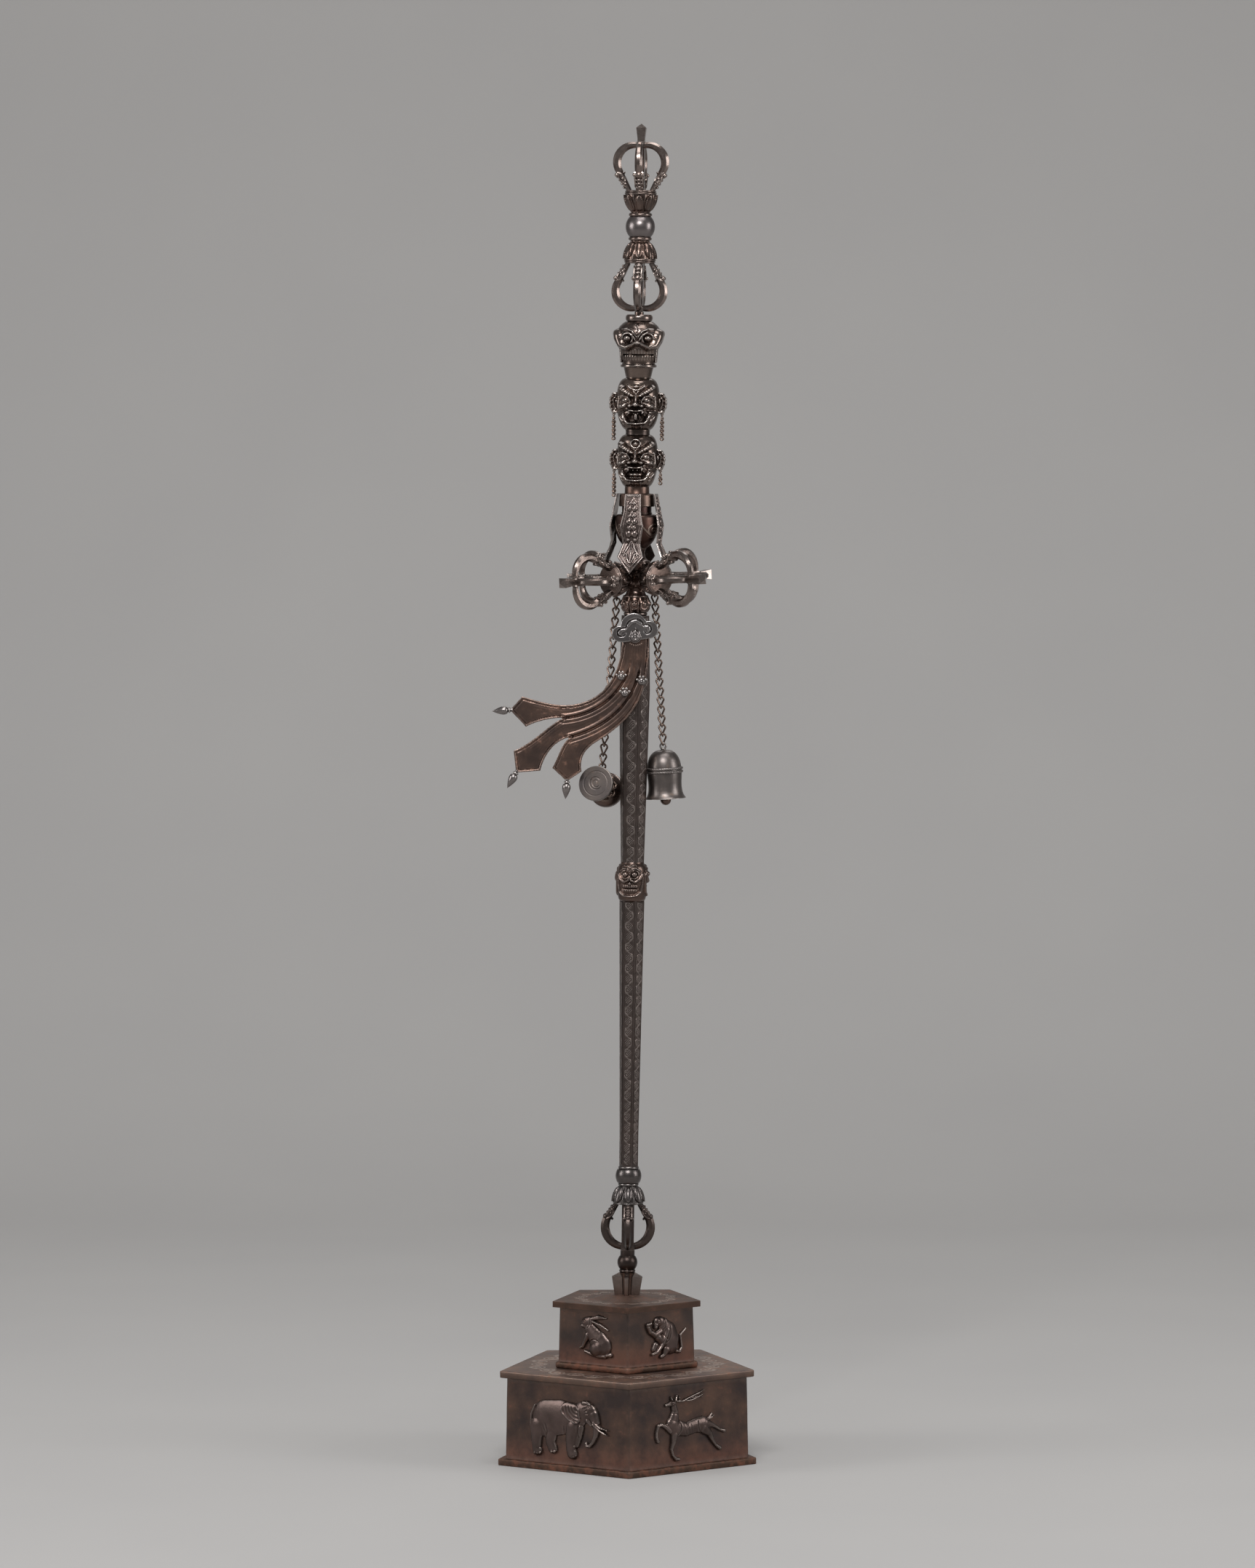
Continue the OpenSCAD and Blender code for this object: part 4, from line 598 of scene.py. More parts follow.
def lotus(bm, h, neck, wide, rim, rim_h):
    """A lotus cup with outlined petals that opens to a rounded rim"""
    bowl = 24.0
    side = [(max(neck - 1, wide - bowl + sqrt(bowl ** 2 - (h - z) ** 2)), z)
            for z in np.linspace(0, h, 42)]
    points = turned(bm, [(0, 0)] + side + [(0, h)], PETALS * 22)

    def petal(x, z, a):
        t = np.clip(z / h, 0, 1)
        turn = 1 - np.abs((a * PETALS / tau) % 1 - 0.5) * 2
        q = turn / (0.86 * np.sqrt(np.clip(1 - ((t - 0.42) / 0.54) ** 2, 0, 1)) + 1e-3)
        leaf = np.where(q < 1, 0.8 + 1.0 * np.clip(1 - q, 0, 1) ** 0.5, 0)
        line = 0.7 * np.exp(-((q - 0.86) / 0.1) ** 2)
        inner = np.where(q < 0.62, 0.7 * np.sqrt(np.clip(1 - (q / 0.62) ** 2, 0, 1)), 0)
        behind = 0.55 * np.exp(-((1 - turn) / 0.16) ** 2) * (t > 0.35)
        return np.where(q < 1, leaf + line + inner - 1.2, behind - 1.2) * np.clip(t * 6, 0, 1)
    swell(points, petal)
    top = turned(bm, ring_outline(rim, rim_h * 0.62, h)
                 + ring_outline(rim - 0.4, rim_h * 0.38, h + rim_h * 0.62)[1:])
    return list(points) + list(top)


LIP = [(4.6, 2.2), (8.5, 1.2), (11.5, -1.5), (13.5, -5.5), (11.0, -7.5), (9.4, -5.0)]
BROW = [(6.2, -1.6), (8.0, -5.2), (11.4, -9.6), (15.0, -12.4)]
TONGUE = [(12.5, 3.4), (11.2, 2.2), (10.6, 0.8)]


def prong(bm, h, belly, reach, depth, width):
    """One prong of a crown: a slanting root held in a curling mouth, and a closing crescent"""
    outer, root, mouth = h - belly, belly - 11, belly * 0.53
    inner = outer - 5.5
    low, high = -np.arcsin(11 / outer), np.arcsin(min(0.999, 19 / outer)) + 0.62
    edges = []
    for foot, cx, cz, r in ((14.4, reach - outer, belly, outer),
                            (9.2, reach - depth - inner, belly - 2, inner)):
        edges.append([(foot + (cx + r * cos(low) - foot) * t, root * t) for t in (0, 0.35, 0.7)]
                     + [(cx + r * cos(a), cz + r * sin(a))
                        for a in low + (high - low) * np.linspace(0, 1, 22)])
    path = [((o[0] + i[0]) / 2, 0, (o[1] + i[1]) / 2) for o, i in zip(*edges)]
    n = len(path)
    sizes = []
    for k, (o, i) in enumerate(zip(*edges)):
        thick = np.hypot(o[0] - i[0], o[1] - i[1]) / 2
        taper = max(0.0, (k - n * 0.45) / (n * 0.55))
        sizes.append((thick * (1.06 - 0.25 * taper), width / 2 * (1.02 - 0.3 * taper)))
    rod(bm, path, sizes, square=True)

    def by_mouth(points, y=0):
        return [(reach - x, y, mouth + z) for x, z in points]
    ball(bm, (reach - 5.6, 0, mouth), 3.3, (1, width / 6.6 + 0.12, 1))
    for s in (-1, 1):
        y = s * width * 0.47
        rod(bm, smooth(by_mouth(LIP, y)), 1.15, sides=6)
        rod(bm, smooth(by_mouth(BROW, y)), 1.0, sides=6)
        ball(bm, (reach - 10.3, y, mouth - 3.4), 1.5, steps=12)
        ball(bm, (reach - 13.2, y * 0.95, mouth - 9.0), 1.3, steps=12)
        ball(bm, (reach - 4.2, s * width * 0.5, mouth), 2.1, steps=14)
    rod(bm, by_mouth(TONGUE), [1.0, 1.6, 1.0], flat=3.2)
    for t in (0.2, 0.42, 0.64):
        spot = (15.0 + (reach - 17.5) * t * 0.9, 0, mouth * t * 1.05)
        ball(bm, spot, 1.5, (1, width / 3.2, 1), steps=14)


def smooth(points, steps=4):
    """A rounded line through the points"""
    p = [Vector(q) for q in points]
    p = [p[0] * 2 - p[1]] + p + [p[-1] * 2 - p[-2]]
    line = []
    for a, b, c, d in zip(p, p[1:], p[2:], p[3:]):
        for i in range(steps):
            t = i / steps
            line.append(0.5 * ((2 * b) + (c - a) * t + (2 * a - 5 * b + 4 * c - d) * t * t
                               + (3 * b - a - 3 * c + d) * t ** 3))
    return line + [p[-2]]


def square_bar(bm, outline):
    """A four-sided bar from half widths and heights"""
    rod(bm, [(0, 0, z) for w, z in outline], [w * sqrt(2) for w, z in outline], sides=4,
        square=True)


def spike(bm, z):
    square_bar(bm, [(3.7, z - 3), (3.7, z + 3), (5.0, z + 14), (0.3, z + 17.99)])


def crown(bm, h, belly, reach, depth, width, core):
    """Four prongs round a square core"""
    one = made_once(prong, h, belly, reach, depth, width)
    set_in(bm, one, *(Matrix.Rotation(k * pi / 2, 4, "Z") for k in range(4)))
    square_bar(bm, [(core, -0.5), (core, h - 6), (core + 0.7, h - 3), (core + 0.4, h)])


CROWN_H, CUP_H = 50.6, 22.7
CROWN = made_once(crown, CROWN_H, 30, 28.9, 8.2, 8.2, 3.7)


def cup(bm):
    """Lotus of a half vajra, up to the crown's seat"""
    lotus(bm, 18.5, 10.7, 16.6, 16.5, 4.2)
    turned(bm, ring_outline(14.9, 1.4, 21.9))


def half_vajra(bm):
    cup(bm)
    set_in(bm, CROWN, lift(CUP_H))
    spike(bm, CUP_H + CROWN_H)


# Lower end of the staff

turned_piece("point_bulb_turned", ["point_bulb"], SOOT_AND_SHADE, Matrix(),
             ring_outline(8.4, 3.5, 194.5)[:-1] + ball_outline(10.4, 14, 198)[1:-1]
             + [(7.4, 212), (7.4, 217.6), (0, 217.6)])

bm = bmesh.new()
crown(bm, 48.6, 25.1, 28.1, 9.0, 8.2, 6.4)
place("lower_crown_forged", bm, SOOT_AND_SHADE, "lower_crown", at=lift(LOW_RIM_Z) @ FLIP)

bm = bmesh.new()
lotus(bm, 16.4, 10.2, 16.2, 16.0, 2.2)
place("lower_lotus_chased", bm, DULL, "lower_lotus", at=lift(LOW_LOTUS_TOP) @ FLIP)

turned_piece("lower_ball_turned", ["lower_ball"], DULL, Matrix(),
             ring_outline(10.7, 3.4, LOW_LOTUS_TOP)[:-1] + ball_outline(13.4, 14, LOW_BALL_Z)[1:-1]
             + ring_outline(10.7, 3.4, LOW_BALL_Z + 14)[1:])


# Shaft

def shaft(name, node, stations, border):
    """A six-sided shaft with a low panel on each face, inside a narrow border"""
    bm = bmesh.new()
    rod(bm, [(0, 0, z) for z, r in stations], [r for z, r in stations], sides=6)
    corner_to(bm, radians(-SHAFT_TURN))
    bmesh.ops.recalc_face_normals(bm, faces=bm.faces[:])
    panel = bm.verts.layers.float_vector.new("panel")
    sides = [f for f in bm.faces if abs(f.normal.z) < 0.5]
    for k in range(6):
        facing = radians(30 - SHAFT_TURN + 60 * k)
        aim = Vector((cos(facing), sin(facing), 0))
        column = [f for f in sides if f.normal.dot(aim) > 0.9]
        for thickness, depth in ((border, 0), (0.5, 0.7)):
            bmesh.ops.inset_region(bm, faces=column, thickness=thickness, depth=depth,
                                   use_even_offset=True)
        across = Vector((aim.y, -aim.x, 0))
        for face in column:
            for v in face.verts:
                v[panel] = (v.co.dot(across), v.co.z, 1.0)
    place(name, bm, CHASED, node, crease=20)


shaft("lower_shaft_chased", "lower_shaft",
      [(LOW_SHAFT_Z, 9.9), (LOW_SHAFT_Z + 36, 9.9), (KNOB_Z, 13.1)], 1.4)
shaft("upper_shaft_chased", "upper_shaft",
      [(UP_SHAFT_Z, 12.2), (UP_SHAFT_Z + 180, 16.2), (NECK_RING_Z, 14.6)], 1.6)


# Skull knob

def small_skull(x, z, a):
    s = np.abs(x)
    h = hump(x, z, 0, 35, 7, 4, 0.8) - dome(x, z, 0, 13, 10, 8.2, 1.0)
    work = [dome(s, z, 4.7, 27.4, 2.9, 2.9, 3.0), circle(s, z, 4.7, 27.4, 4.2, 0.8, 0.9),
            stroke(s, z, (0, 25.5, 0.9, 1.2), (1.4, 21.6, 1.3, 2.2), (5.2, 19.6, 1.7, 2.6),
                   (9.4, 22.6, 1.7, 2.6), (11.6, 27.6, 1.5, 2.2)),
            stroke(s, z, (12.6, 27, 1.1, 1.6), (12.0, 17, 1.0, 1.6), (10.6, 9, 1.0, 1.7),
                   (6.5, 5.4, 1.1, 1.8), (0, 4.6, 1.2, 1.9)),
            dome(x, z, 0, 17.8, 1.7, 2.0, 1.8),
            stroke(s, z, (0, 30.2, 0.7, 1.1), (2.6, 33.2, 0.8, 1.2), (6.5, 33.6, 0.8, 1.2),
                   (10.4, 30.8, 0.7, 0.9)),
            stroke(s, z, (0, 34.2, 0.6, 0.8), (2.4, 36.6, 0.7, 1.0), (6.0, 36.8, 0.6, 0.7))]
    for i in range(-3, 4):
        work += [dome(x, z, i * 2.3, 15.0, 1.1, 1.5, 0.8), dome(x, z, i * 2.2, 10.8, 1.0, 1.5, 0.8)]
    slit = stroke(x, z, (-8.5, 12.9, 0.5, 0.9), (8.5, 12.9, 0.5, 0.9))
    return (h + np.maximum.reduce(work) - slit) * (np.cos(a) > 0.45)


bm = bmesh.new()
outline = ([(11.5, -1.5)] + curve([(13.0, 0), (15.0, 1), (15.5, 15.1), (15.5, 22.7)])
           + curve([(15.5, 22.7), (15.5, 32.1), (15.2, 35.2), (12.2, 37.8)])[1:] + [(11.5, 39.8)])
points = turned(bm, [(0, -1.5)] + fine(outline, 0.45) + [(0, 39.8)], 300)
swell(points, small_skull, faces=3)
soften(bm, 1, lambda co: 3 < co.z < 37)
place("skull_knob_carved", bm, DARK, "skull_knob", at=lift(KNOB_Z, 10), keen=0.9)


# Crossing

def petal_row(x, z, a):
    turn = a * PETALS / tau
    lobe = np.sqrt(np.clip(1 - (1 - np.abs(turn % 1 - 0.5) * 2) ** 2, 0, 1)) * 1.4 - 1.2
    near = ((turn + 0.5) % 1 - 0.5) * 11.6
    return lobe + np.maximum(dome(near, z, 0, 8.6, 2.3, 2.6, 1.2),
                             circle(near, z, 0, 7.4, 4.6, 0.6, 0.5))


bm = bmesh.new()
turned(bm, ring_outline(12.3, 3.8))
points = turned(bm, fine(ball_outline(15.0, 16), 0.5), 176)
swell(points, petal_row)
move(bm, points, lift(3.8))
turned(bm, [(0, 19.8), (12.6, 19.8), (12.2, 20.6), (10.4, 22), (9.4, 24.8), (0, 24.8)])
turned(bm, ring_outline(13.2, 2.0, 18.9))
place("petalled_ball_chased", bm, DARK, "petalled_ball", at=lift(NECK_RING_Z, HEAD_TURN))

# The crossed vajra sits a little turned and tilted on its hub
ARMS = {"vajra_front_left": -48, "vajra_front_right": 42, "vajra_back_right": 132,
        "vajra_back_left": 222}
CROSS_TILT = -2.4
HUB_R = 14
HALF = made_once(half_vajra)
for node, angle in ARMS.items():
    bm = bmesh.new()
    set_in(bm, HALF, lift(CROSS_Z) @ spun(CROSS_TILT, "Y") @ spun(angle) @ FACING @ lift(HUB_R))
    place(node + "_forged", bm, DARK, node)

turned_piece("baluster_turned", ["baluster"], DARK, lift(BALUSTER_Z),
             [(4.2, 0), (14.5, 0)] + curve([(14.5, 2.5), (8.5, 4), (7.5, 10.9), (10.5, 15.6)], 16)
             + [(4.2, 15.6)], ring_outline(14.8, 2.6, 0.2, 5), ring_outline(9.4, 1.8, 7.4, 5))

belly = (curve([(10.5, 0), (20.1, 7), (22.6, 17.5), (22.3, 26.2)], 24)
         + curve([(22.3, 26.2), (22.3, 33.9), (21.3, 34.9), (15.2, 34.9)], 14)[1:])
turned_piece("vase_engraved", ["vase"], ENGRAVED, lift(VASE_Z),
             [(4.2, 0)] + belly + [(15.2, 42.9), (4.2, 42.9)], ring_outline(16.0, 1.6, 35.2, 6),
             steps=120)

turned_piece("canopy_collar_turned", ["canopy_collar"], BROWN, lift(CANOPY_Z),
             [(4.2, 0), (18.0, 0), (18.5, 0.7), (18.3, 2.0), (17.7, 11.6), (17.2, 12.8),
              (16.4, 13.3), (13.2, 13.3), (12.8, 14.0), (12.6, 20.5), (4.2, 20.5)])


# Heads

MOUTH = [(6.2, 18.4), (7.0, 16.0), (9.8, 13.6), (8.6, 10.2), (6.2, 8.6)]
MOUTH += [(-x, z) for x, z in MOUTH[::-1]]
CHEEK_FOLD = [(7.4, 21.8), (11.5, 20.6), (17.6, 20.8)]


def wrathful(third_eye):
    """The raised and sunk work of a wrathful face, in millimetres on its front"""
    def face(x, z, a):
        s = np.abs(x)
        front = np.clip((np.cos(a) - 0.15) / 0.25, 0, 1)
        soft = (hump(x, z, 0, 14, 13, 9, 1.8) + hump(x, z, 0, 3.6, 6.6, 4.0, 3.0)
                + hump(x, z, 0, 49, 10, 4, 1.0) + hump(s, z, 13, 24, 6, 5, 1.6)
                - hump(s, z, 10.0, 30.6, 5.6, 3.8, 1.0))
        gape = np.clip(from_edge(x, z, MOUTH) / 1.0, 0, 1)
        brow = fold(x, z, (3.4, 35.0, 2.4, 5.0), (7.6, 38.4, 3.6, 6.6), (12.4, 41.8, 3.8, 6.2),
                    (15.6, 44.0, 2.6, 4.2))
        hair = 0.35 * np.cos(2.2 * (s + 0.7 * z)) * np.clip(brow / 3 - 0.5, 0, 1)
        raised = [
            brow,
            mound(x, z, 10.0, 30.8, 4.6, 3.9, 6.4),
            fold(x, z, (4.8, 28.8, 1.2, 4.4), (7.4, 34.0, 1.5, 5.6), (11.6, 35.2, 1.5, 5.4),
                 (16.0, 31.8, 1.2, 3.2)),
            fold(x, z, (5.0, 28.4, 1.1, 3.8), (9.6, 26.6, 1.3, 4.2), (15.4, 30.0, 1.1, 2.8)),
            mound(x, z, 12.2, 24.8, 4.8, 3.7, 5.6),
            fold(x, z, (0, 37, 1.6, 2.0), (0, 32.0, 2.6, 4.4), (0, 28.6, 3.6, 7.6)),
            mound(x, z, 0, 26.2, 4.1, 3.6, 9.8), mound(x, z, 4.9, 25.0, 2.9, 2.8, 7.2),
            fold(x, z, (0, 19.8, 1.7, 6.0), (4.0, 20.0, 1.9, 6.2), (7.4, 21.8, 1.6, 5.0),
                 (10.6, 21.6, 1.2, 3.4)),
            fold(x, z, (6.0, 18.8, 1.8, 5.8), (5.8, 14.6, 0.6, 4.4)),
            fold(x, z, (12.2, 15.6, 1.5, 4.6), (9.6, 10.4, 1.9, 5.4), (6.8, 7.2, 2.0, 6.0),
                 (0, 6.4, 2.0, 6.2)),
            fold(x, z, (9.8, 12.0, 1.7, 5.2), (11.6, 17.6, 0.6, 3.6)),
            fold(x, z, (1.4, 38.4, 1.2, 2.6), (3.4, 42.2, 1.0, 1.6)),
            fold(x, z, (13.6, 9.0, 1.2, 2.0), (17.6, 14.0, 1.0, 1.6)),
            fold(x, z, (12.4, 6.0, 1.0, 1.8), (15.0, 9.0, 0.9, 1.5)),
            fold(x, z, (17.4, 21.4, 1.4, 2.2), (18.2, 28.0, 1.2, 1.8), (17.6, 34.4, 1.5, 2.2)),
            fold(x, z, (4.4, 5.0, 0.9, 3.4), (4.2, 0.8, 0.8, 2.2)),
        ]
        if third_eye:
            raised += [mound(x, z, 0, 44.8, 3.4, 2.1, 3.6),
                       fold(x, z, (0, 41.0, 1.2, 2.2), (4.6, 42.4, 1.2, 2.2),
                            (8.6, 45.6, 1.0, 1.6))]
        else:
            raised += [circle(x, z, 0, 44.4, 4.3, 1.2, 2.4), mound(x, z, 0, 44.4, 2.9, 2.9, 4.2)]
        shadow = 2.6 * ridge(from_line(s, z, CHEEK_FOLD), 1.5)
        h = soft + joined(raised) + hair - shadow - 2.6 * gape
        inner = [mound(x, z, 2.0, 17.4, 1.5, 1.9, 4.6), mound(x, z, 4.8, 17.2, 1.5, 2.0, 4.6)]
        inner.append(fold(x, z, (0, 16.4, 2.4, 5.4), (0, 11.4, 3.0, 6.4)) if third_eye
                     else mound(x, z, 0, 12.6, 8.4, 2.8, 6.0))
        inner += [mound(x, z, 0.9 + i * 1.8, 9.2, 1.1, 1.7, 4.6) for i in range(4)]
        return (h + joined(inner) * gape) * front * np.clip(z / 2, 0, 1)
    return face


EAR_LOBES = [(-1.5, 35.6, 3.6), (1.8, 34.6, 3.8), (3.6, 31.4, 3.8), (4.0, 27.6, 3.7),
             (3.6, 23.8, 3.6), (2.2, 20.6, 3.4)]


def ear(bm, side, r):
    """A long scalloped ear with a rolled rim, and its round lobe with the eye for the chain"""
    lobe, bend, wire = r + EAR_REACH, 1.4, 0.5

    def edge(x, z):
        inner = strokes(x, z, [(r - 2, 35, 3.6, 1), (r + 1.4, 28, 4.6, 1), (r, 20.4, 3.4, 1)])[0]
        return np.maximum.reduce([inner] + [w - np.hypot(x - r - cx, z - cz)
                                            for cx, cz, w in EAR_LOBES])

    def height(x, z):
        rim = 2.0 * np.clip(1 - ((edge(x, z) - 1.1) / 1.5) ** 2, 0, 1)
        return 1.4 + joined([
            rim, fold(x, z, (r + 0.6, 35.0, 1.1, 1.2), (r + 3.4, 31, 1.3, 1.6),
                      (r + 2.6, 25, 1.2, 1.4), (r + 0.4, 21.4, 1.2, 1.6)),
            mound(x, z, r - 0.2, 29.6, 1.8, 2.6, 1.6), mound(x, z, r + 1.0, 20.6, 2.2, 2.0, 1.4)])
    points = list(carved(bm, edge, height, (r - 6, 16), (r + 8.4, 40), 0.42, back=2.2))
    points += rod(bm, hoop(lobe, 16.4, bend, 16), wire * 1.05, closed=True)
    points += ball(bm, (lobe - 0.4, -0.2, 18.9), 2.9, (1.05, 0.85, 0.85), steps=16)
    if side < 0:
        move(bm, points, MIRROR)


def wrathful_head(node, r, z, third_eye):
    name = node + "_carved"
    at = lift(z, HEAD_TURN)
    outline = (curve([(NECK_R, 0), (r - 4.4, 2.6), (r, HEAD_H * 0.26), (r, HEAD_H * 0.55)], 20)
               + curve([(r, HEAD_H * 0.55), (r, HEAD_H * 0.85), (r - 3, HEAD_H * 0.97),
                        (NECK_R, HEAD_H)], 20)[1:])
    bm = bmesh.new()
    points = turned(bm, [(0, -0.4), (NECK_R, -0.4)] + fine(outline, 0.42) + [(0, HEAD_H)], 250)
    crowd(points, 0.42)
    swell(points, wrathful(third_eye))
    soften(bm, 3, lambda co: co.y < -3 and 1 < co.z < 50)
    for side in (-1, 1):
        ear(bm, side, r)
    place(name, bm, FACE, node, at=at, crease=60)
    if not third_eye:
        # The neck ring under the upper head's chin is made soot-black as painted shadow of that
        # chin
        turned_piece("shaded_neck_above_" + name, [], SOOT_AND_SHADE, at @ lift(HEAD_H),
                     [(0, -0.5), (12.6, -0.5), (12.3, 2), (12.6, 4.7), (0, 4.7)])


wrathful_head("lower_head", LOW_HEAD_R, LOW_HEAD_Z, False)
wrathful_head("upper_head", UP_HEAD_R, UP_HEAD_Z, True)


def skull_face(x, z, a):
    """The raised and sunk work of the dry skull"""
    s = np.abs(x)
    front = np.clip((np.cos(a) - 0.05) / 0.15, 0, 1)
    raised = [
        fold(x, z, (0, 26.6, 2.4, 5.6), (4.4, 23.4, 3.2, 6.0), (9.4, 20.4, 3.9, 6.4),
             (15.3, 22.6, 4.2, 6.2), (19.5, 29.4, 4.2, 5.4), (21.4, 36.2, 4.0, 4.4)),
        mound(x, z, 10.0, 29.6, 3.8, 3.8, 6.2), 0.8 * circle(s, z, 10.0, 29.6, 5.3, 1.2, 3.2),
        fold(x, z, (1.6, 26.8, 1.1, 2.0), (5.2, 33.6, 1.2, 2.4), (10.2, 36.4, 1.2, 2.2),
             (15.8, 35.2, 1.0, 1.4)),
        fold(x, z, (0.8, 31.0, 1.0, 1.6), (4.8, 37.0, 1.1, 2.0), (10.2, 39.6, 1.1, 1.8),
             (16.0, 39.0, 0.9, 1.1)),
        mound(x, z, 0, 24.6, 2.8, 3.2, 7.2)]
    rows = np.zeros(x.shape)
    for cx in 1.5 + 2.9 * np.arange(6):
        rows = np.maximum.reduce([rows, dome(s, z, cx, 16.4, 1.4, 3.2, 0.6),
                                  dome(s, z, cx, 9.6, 1.3, 2.8, 0.45)])
    slit = np.clip((0.8 - np.abs(z - 12.9)) / 0.3, 0, 1) * np.clip((16.9 - s) / 0.5, 0, 1)
    crack = stroke(x, z, (-2.0, 43.5, 0.5, 0.7), (-0.2, 40.6, 0.6, 0.9), (0.6, 38.2, 0.6, 0.8),
                   (-0.4, 35.5, 0.5, 0.6))
    pits = hump(s, z, 10.0, 29.6, 6.5, 5.5, -0.7)
    return (joined(raised) + rows * (s < 17.5) + pits - slit * 3.5 - crack) * front


def flange_edge(x, z):
    return strokes(x, z, [(22.3, 34.5, 4.2, 1), (21.0, 27, 3.3, 1), (18.4, 19, 1.5, 1),
                          (17.6, 6, 1.2, 1)])[0]


def flange_height(x, z):
    return 4.2 + 2.2 * rounded(flange_edge(x, z), 1.8)


bm = bmesh.new()
jaw, skull_r, skull_h = 18.4, 22.8, 47.0
outline = ([(NECK_R, -10.7), (13.4, -8.5), (15.0, -1.6), (15.4, -0.2), (jaw - 0.6, 0),
            (jaw + 0.2, 0.6), (jaw + 0.2, 2.4), (jaw - 1.4, 3.4)]
           + curve([(jaw - 1.4, 4.5), (jaw - 0.6, 14), (skull_r - 1, 24), (skull_r, 33)], 20)
           + curve([(skull_r, 33), (skull_r + 0.2, 40), (skull_r - 4, 44), (14.0, skull_h)],
                   20)[1:])
points = turned(bm, [(0, -10.7)] + fine(outline, 0.42) + [(0, skull_h)], 250)
crowd(points, 0.42)
swell(points, skull_face)
soften(bm, 2, lambda co: co.y < -3 and 14.5 < co.z < 46)
for side in (-1, 1):
    made = carved(bm, flange_edge, flange_height, (14, 4), (27.5, 39), 0.5, back=6)
    if side < 0:
        move(bm, made, MIRROR)
place("dry_skull_carved", bm, FACE, "dry_skull", at=lift(SKULL_Z, 4.5), crease=60)

turned_piece("cap_ring_turned", ["cap_ring"], DARK, lift(CAP_Z),
             [(0, 0), (11.6, 0), (13.4, 1.0), (14.0, 3.2), (13.8, 5.6), (12.4, 7.2), (9.2, 7.4),
              (4.7, 7.4), (4.7, 9.8), (0, 9.8)])


# Finial

bm = bmesh.new()
set_in(bm, CROWN, lift(GRIP_Z, HEAD_TURN) @ FLIP)
place("finial_lower_crown_forged", bm, DARK, "finial_lower_crown")

bm = bmesh.new()
set_in(bm, made_once(cup), lift(CUP_H) @ FLIP, lift(GRIP_H - CUP_H))
for z in (CUP_H, CUP_H + 24.7):
    turned(bm, ring_outline(12, 3.8, z))
place("finial_grip_lotuses", bm, DARK, "finial_grip", at=lift(GRIP_Z, HEAD_TURN))
turned_piece("finial_globe_turned", [], BRIGHT, lift(GRIP_Z, HEAD_TURN),
             [(0, CUP_H + 2)] + ball_outline(15.1, 20.9, CUP_H + 3.8)[1:-1]
             + [(0, CUP_H + 26.6)], steps=120)

bm = bmesh.new()
set_in(bm, CROWN, Matrix())
spike(bm, CROWN_H)
place("finial_upper_crown_forged", bm, DARK, "finial_upper_crown",
      at=lift(TOP_CROWN_Z, HEAD_TURN))


# Front ornament, laid out from the rivet in the plane of the plate

RIBBON_EDGES = [
    [[-13, 4], [-12, -50], [-40, -72], [-72, -72.5]],
    [[-72, -72.5], [-88, -72.5], [-104, -67], [-115.7, -64]],
    [[-128, -78], [-128, -78], [-111.5, -95.2], [-111.5, -95.2]],
    [[-111.5, -95.2], [-103, -90], [-85, -85], [-72.8, -85.5]],
    [[-72.8, -85.5], [-88, -92], [-102, -111], [-123.8, -120.3]],
    [[-121, -142.5], [-121, -142.5], [-96.1, -140.3], [-96.1, -140.3]],
    [[-96.1, -140.3], [-92, -122], [-80, -108], [-65.7, -105.3]],
    [[-65.7, -105.3], [-75, -112], [-77, -125], [-83.8, -137.3]],
    [[-68.6, -151], [-68.6, -151], [-53.6, -140.7], [-53.6, -140.7]],
    [[-53.6, -140.7], [-57, -122], [-45, -114], [-38, -109.5]],
    [[-38, -109.5], [10, -80], [15, -50], [14.6, 4]]]
CHANNELS = [curve([[-4, -20], [-5, -50], [-32, -82], [-73, -85.6]], 24),
            curve([[6, -20], [6, -62], [-22, -93], [-66, -105.2]], 24)]
BLADE_ROOTS = [((-103, -66), (-98, -91), 28.5), ((-112, -115), (-92, -125), 31),
               ((-78, -121), (-52, -121), 31)]
TAIL_TIPS = [[-128, -78], [-121, -142.5], [-68.6, -151]]
TAIL_TURNS = [95, 151, 176]
BOSS_SPOTS = [[-14.1, -42], [7, -46.6], [-10.1, -58.9]]
PLATE_FRONT = -PLATE_BACK + RIBBON_T

ribbon_outline = []
for guide in RIBBON_EDGES:
    straight = guide[0] == guide[1]
    ribbon_outline += map(tuple, [guide[0], guide[3]] if straight else curve(guide, 11))
ribbon_outline = [p for i, p in enumerate(ribbon_outline) if p != ribbon_outline[i - 1]]


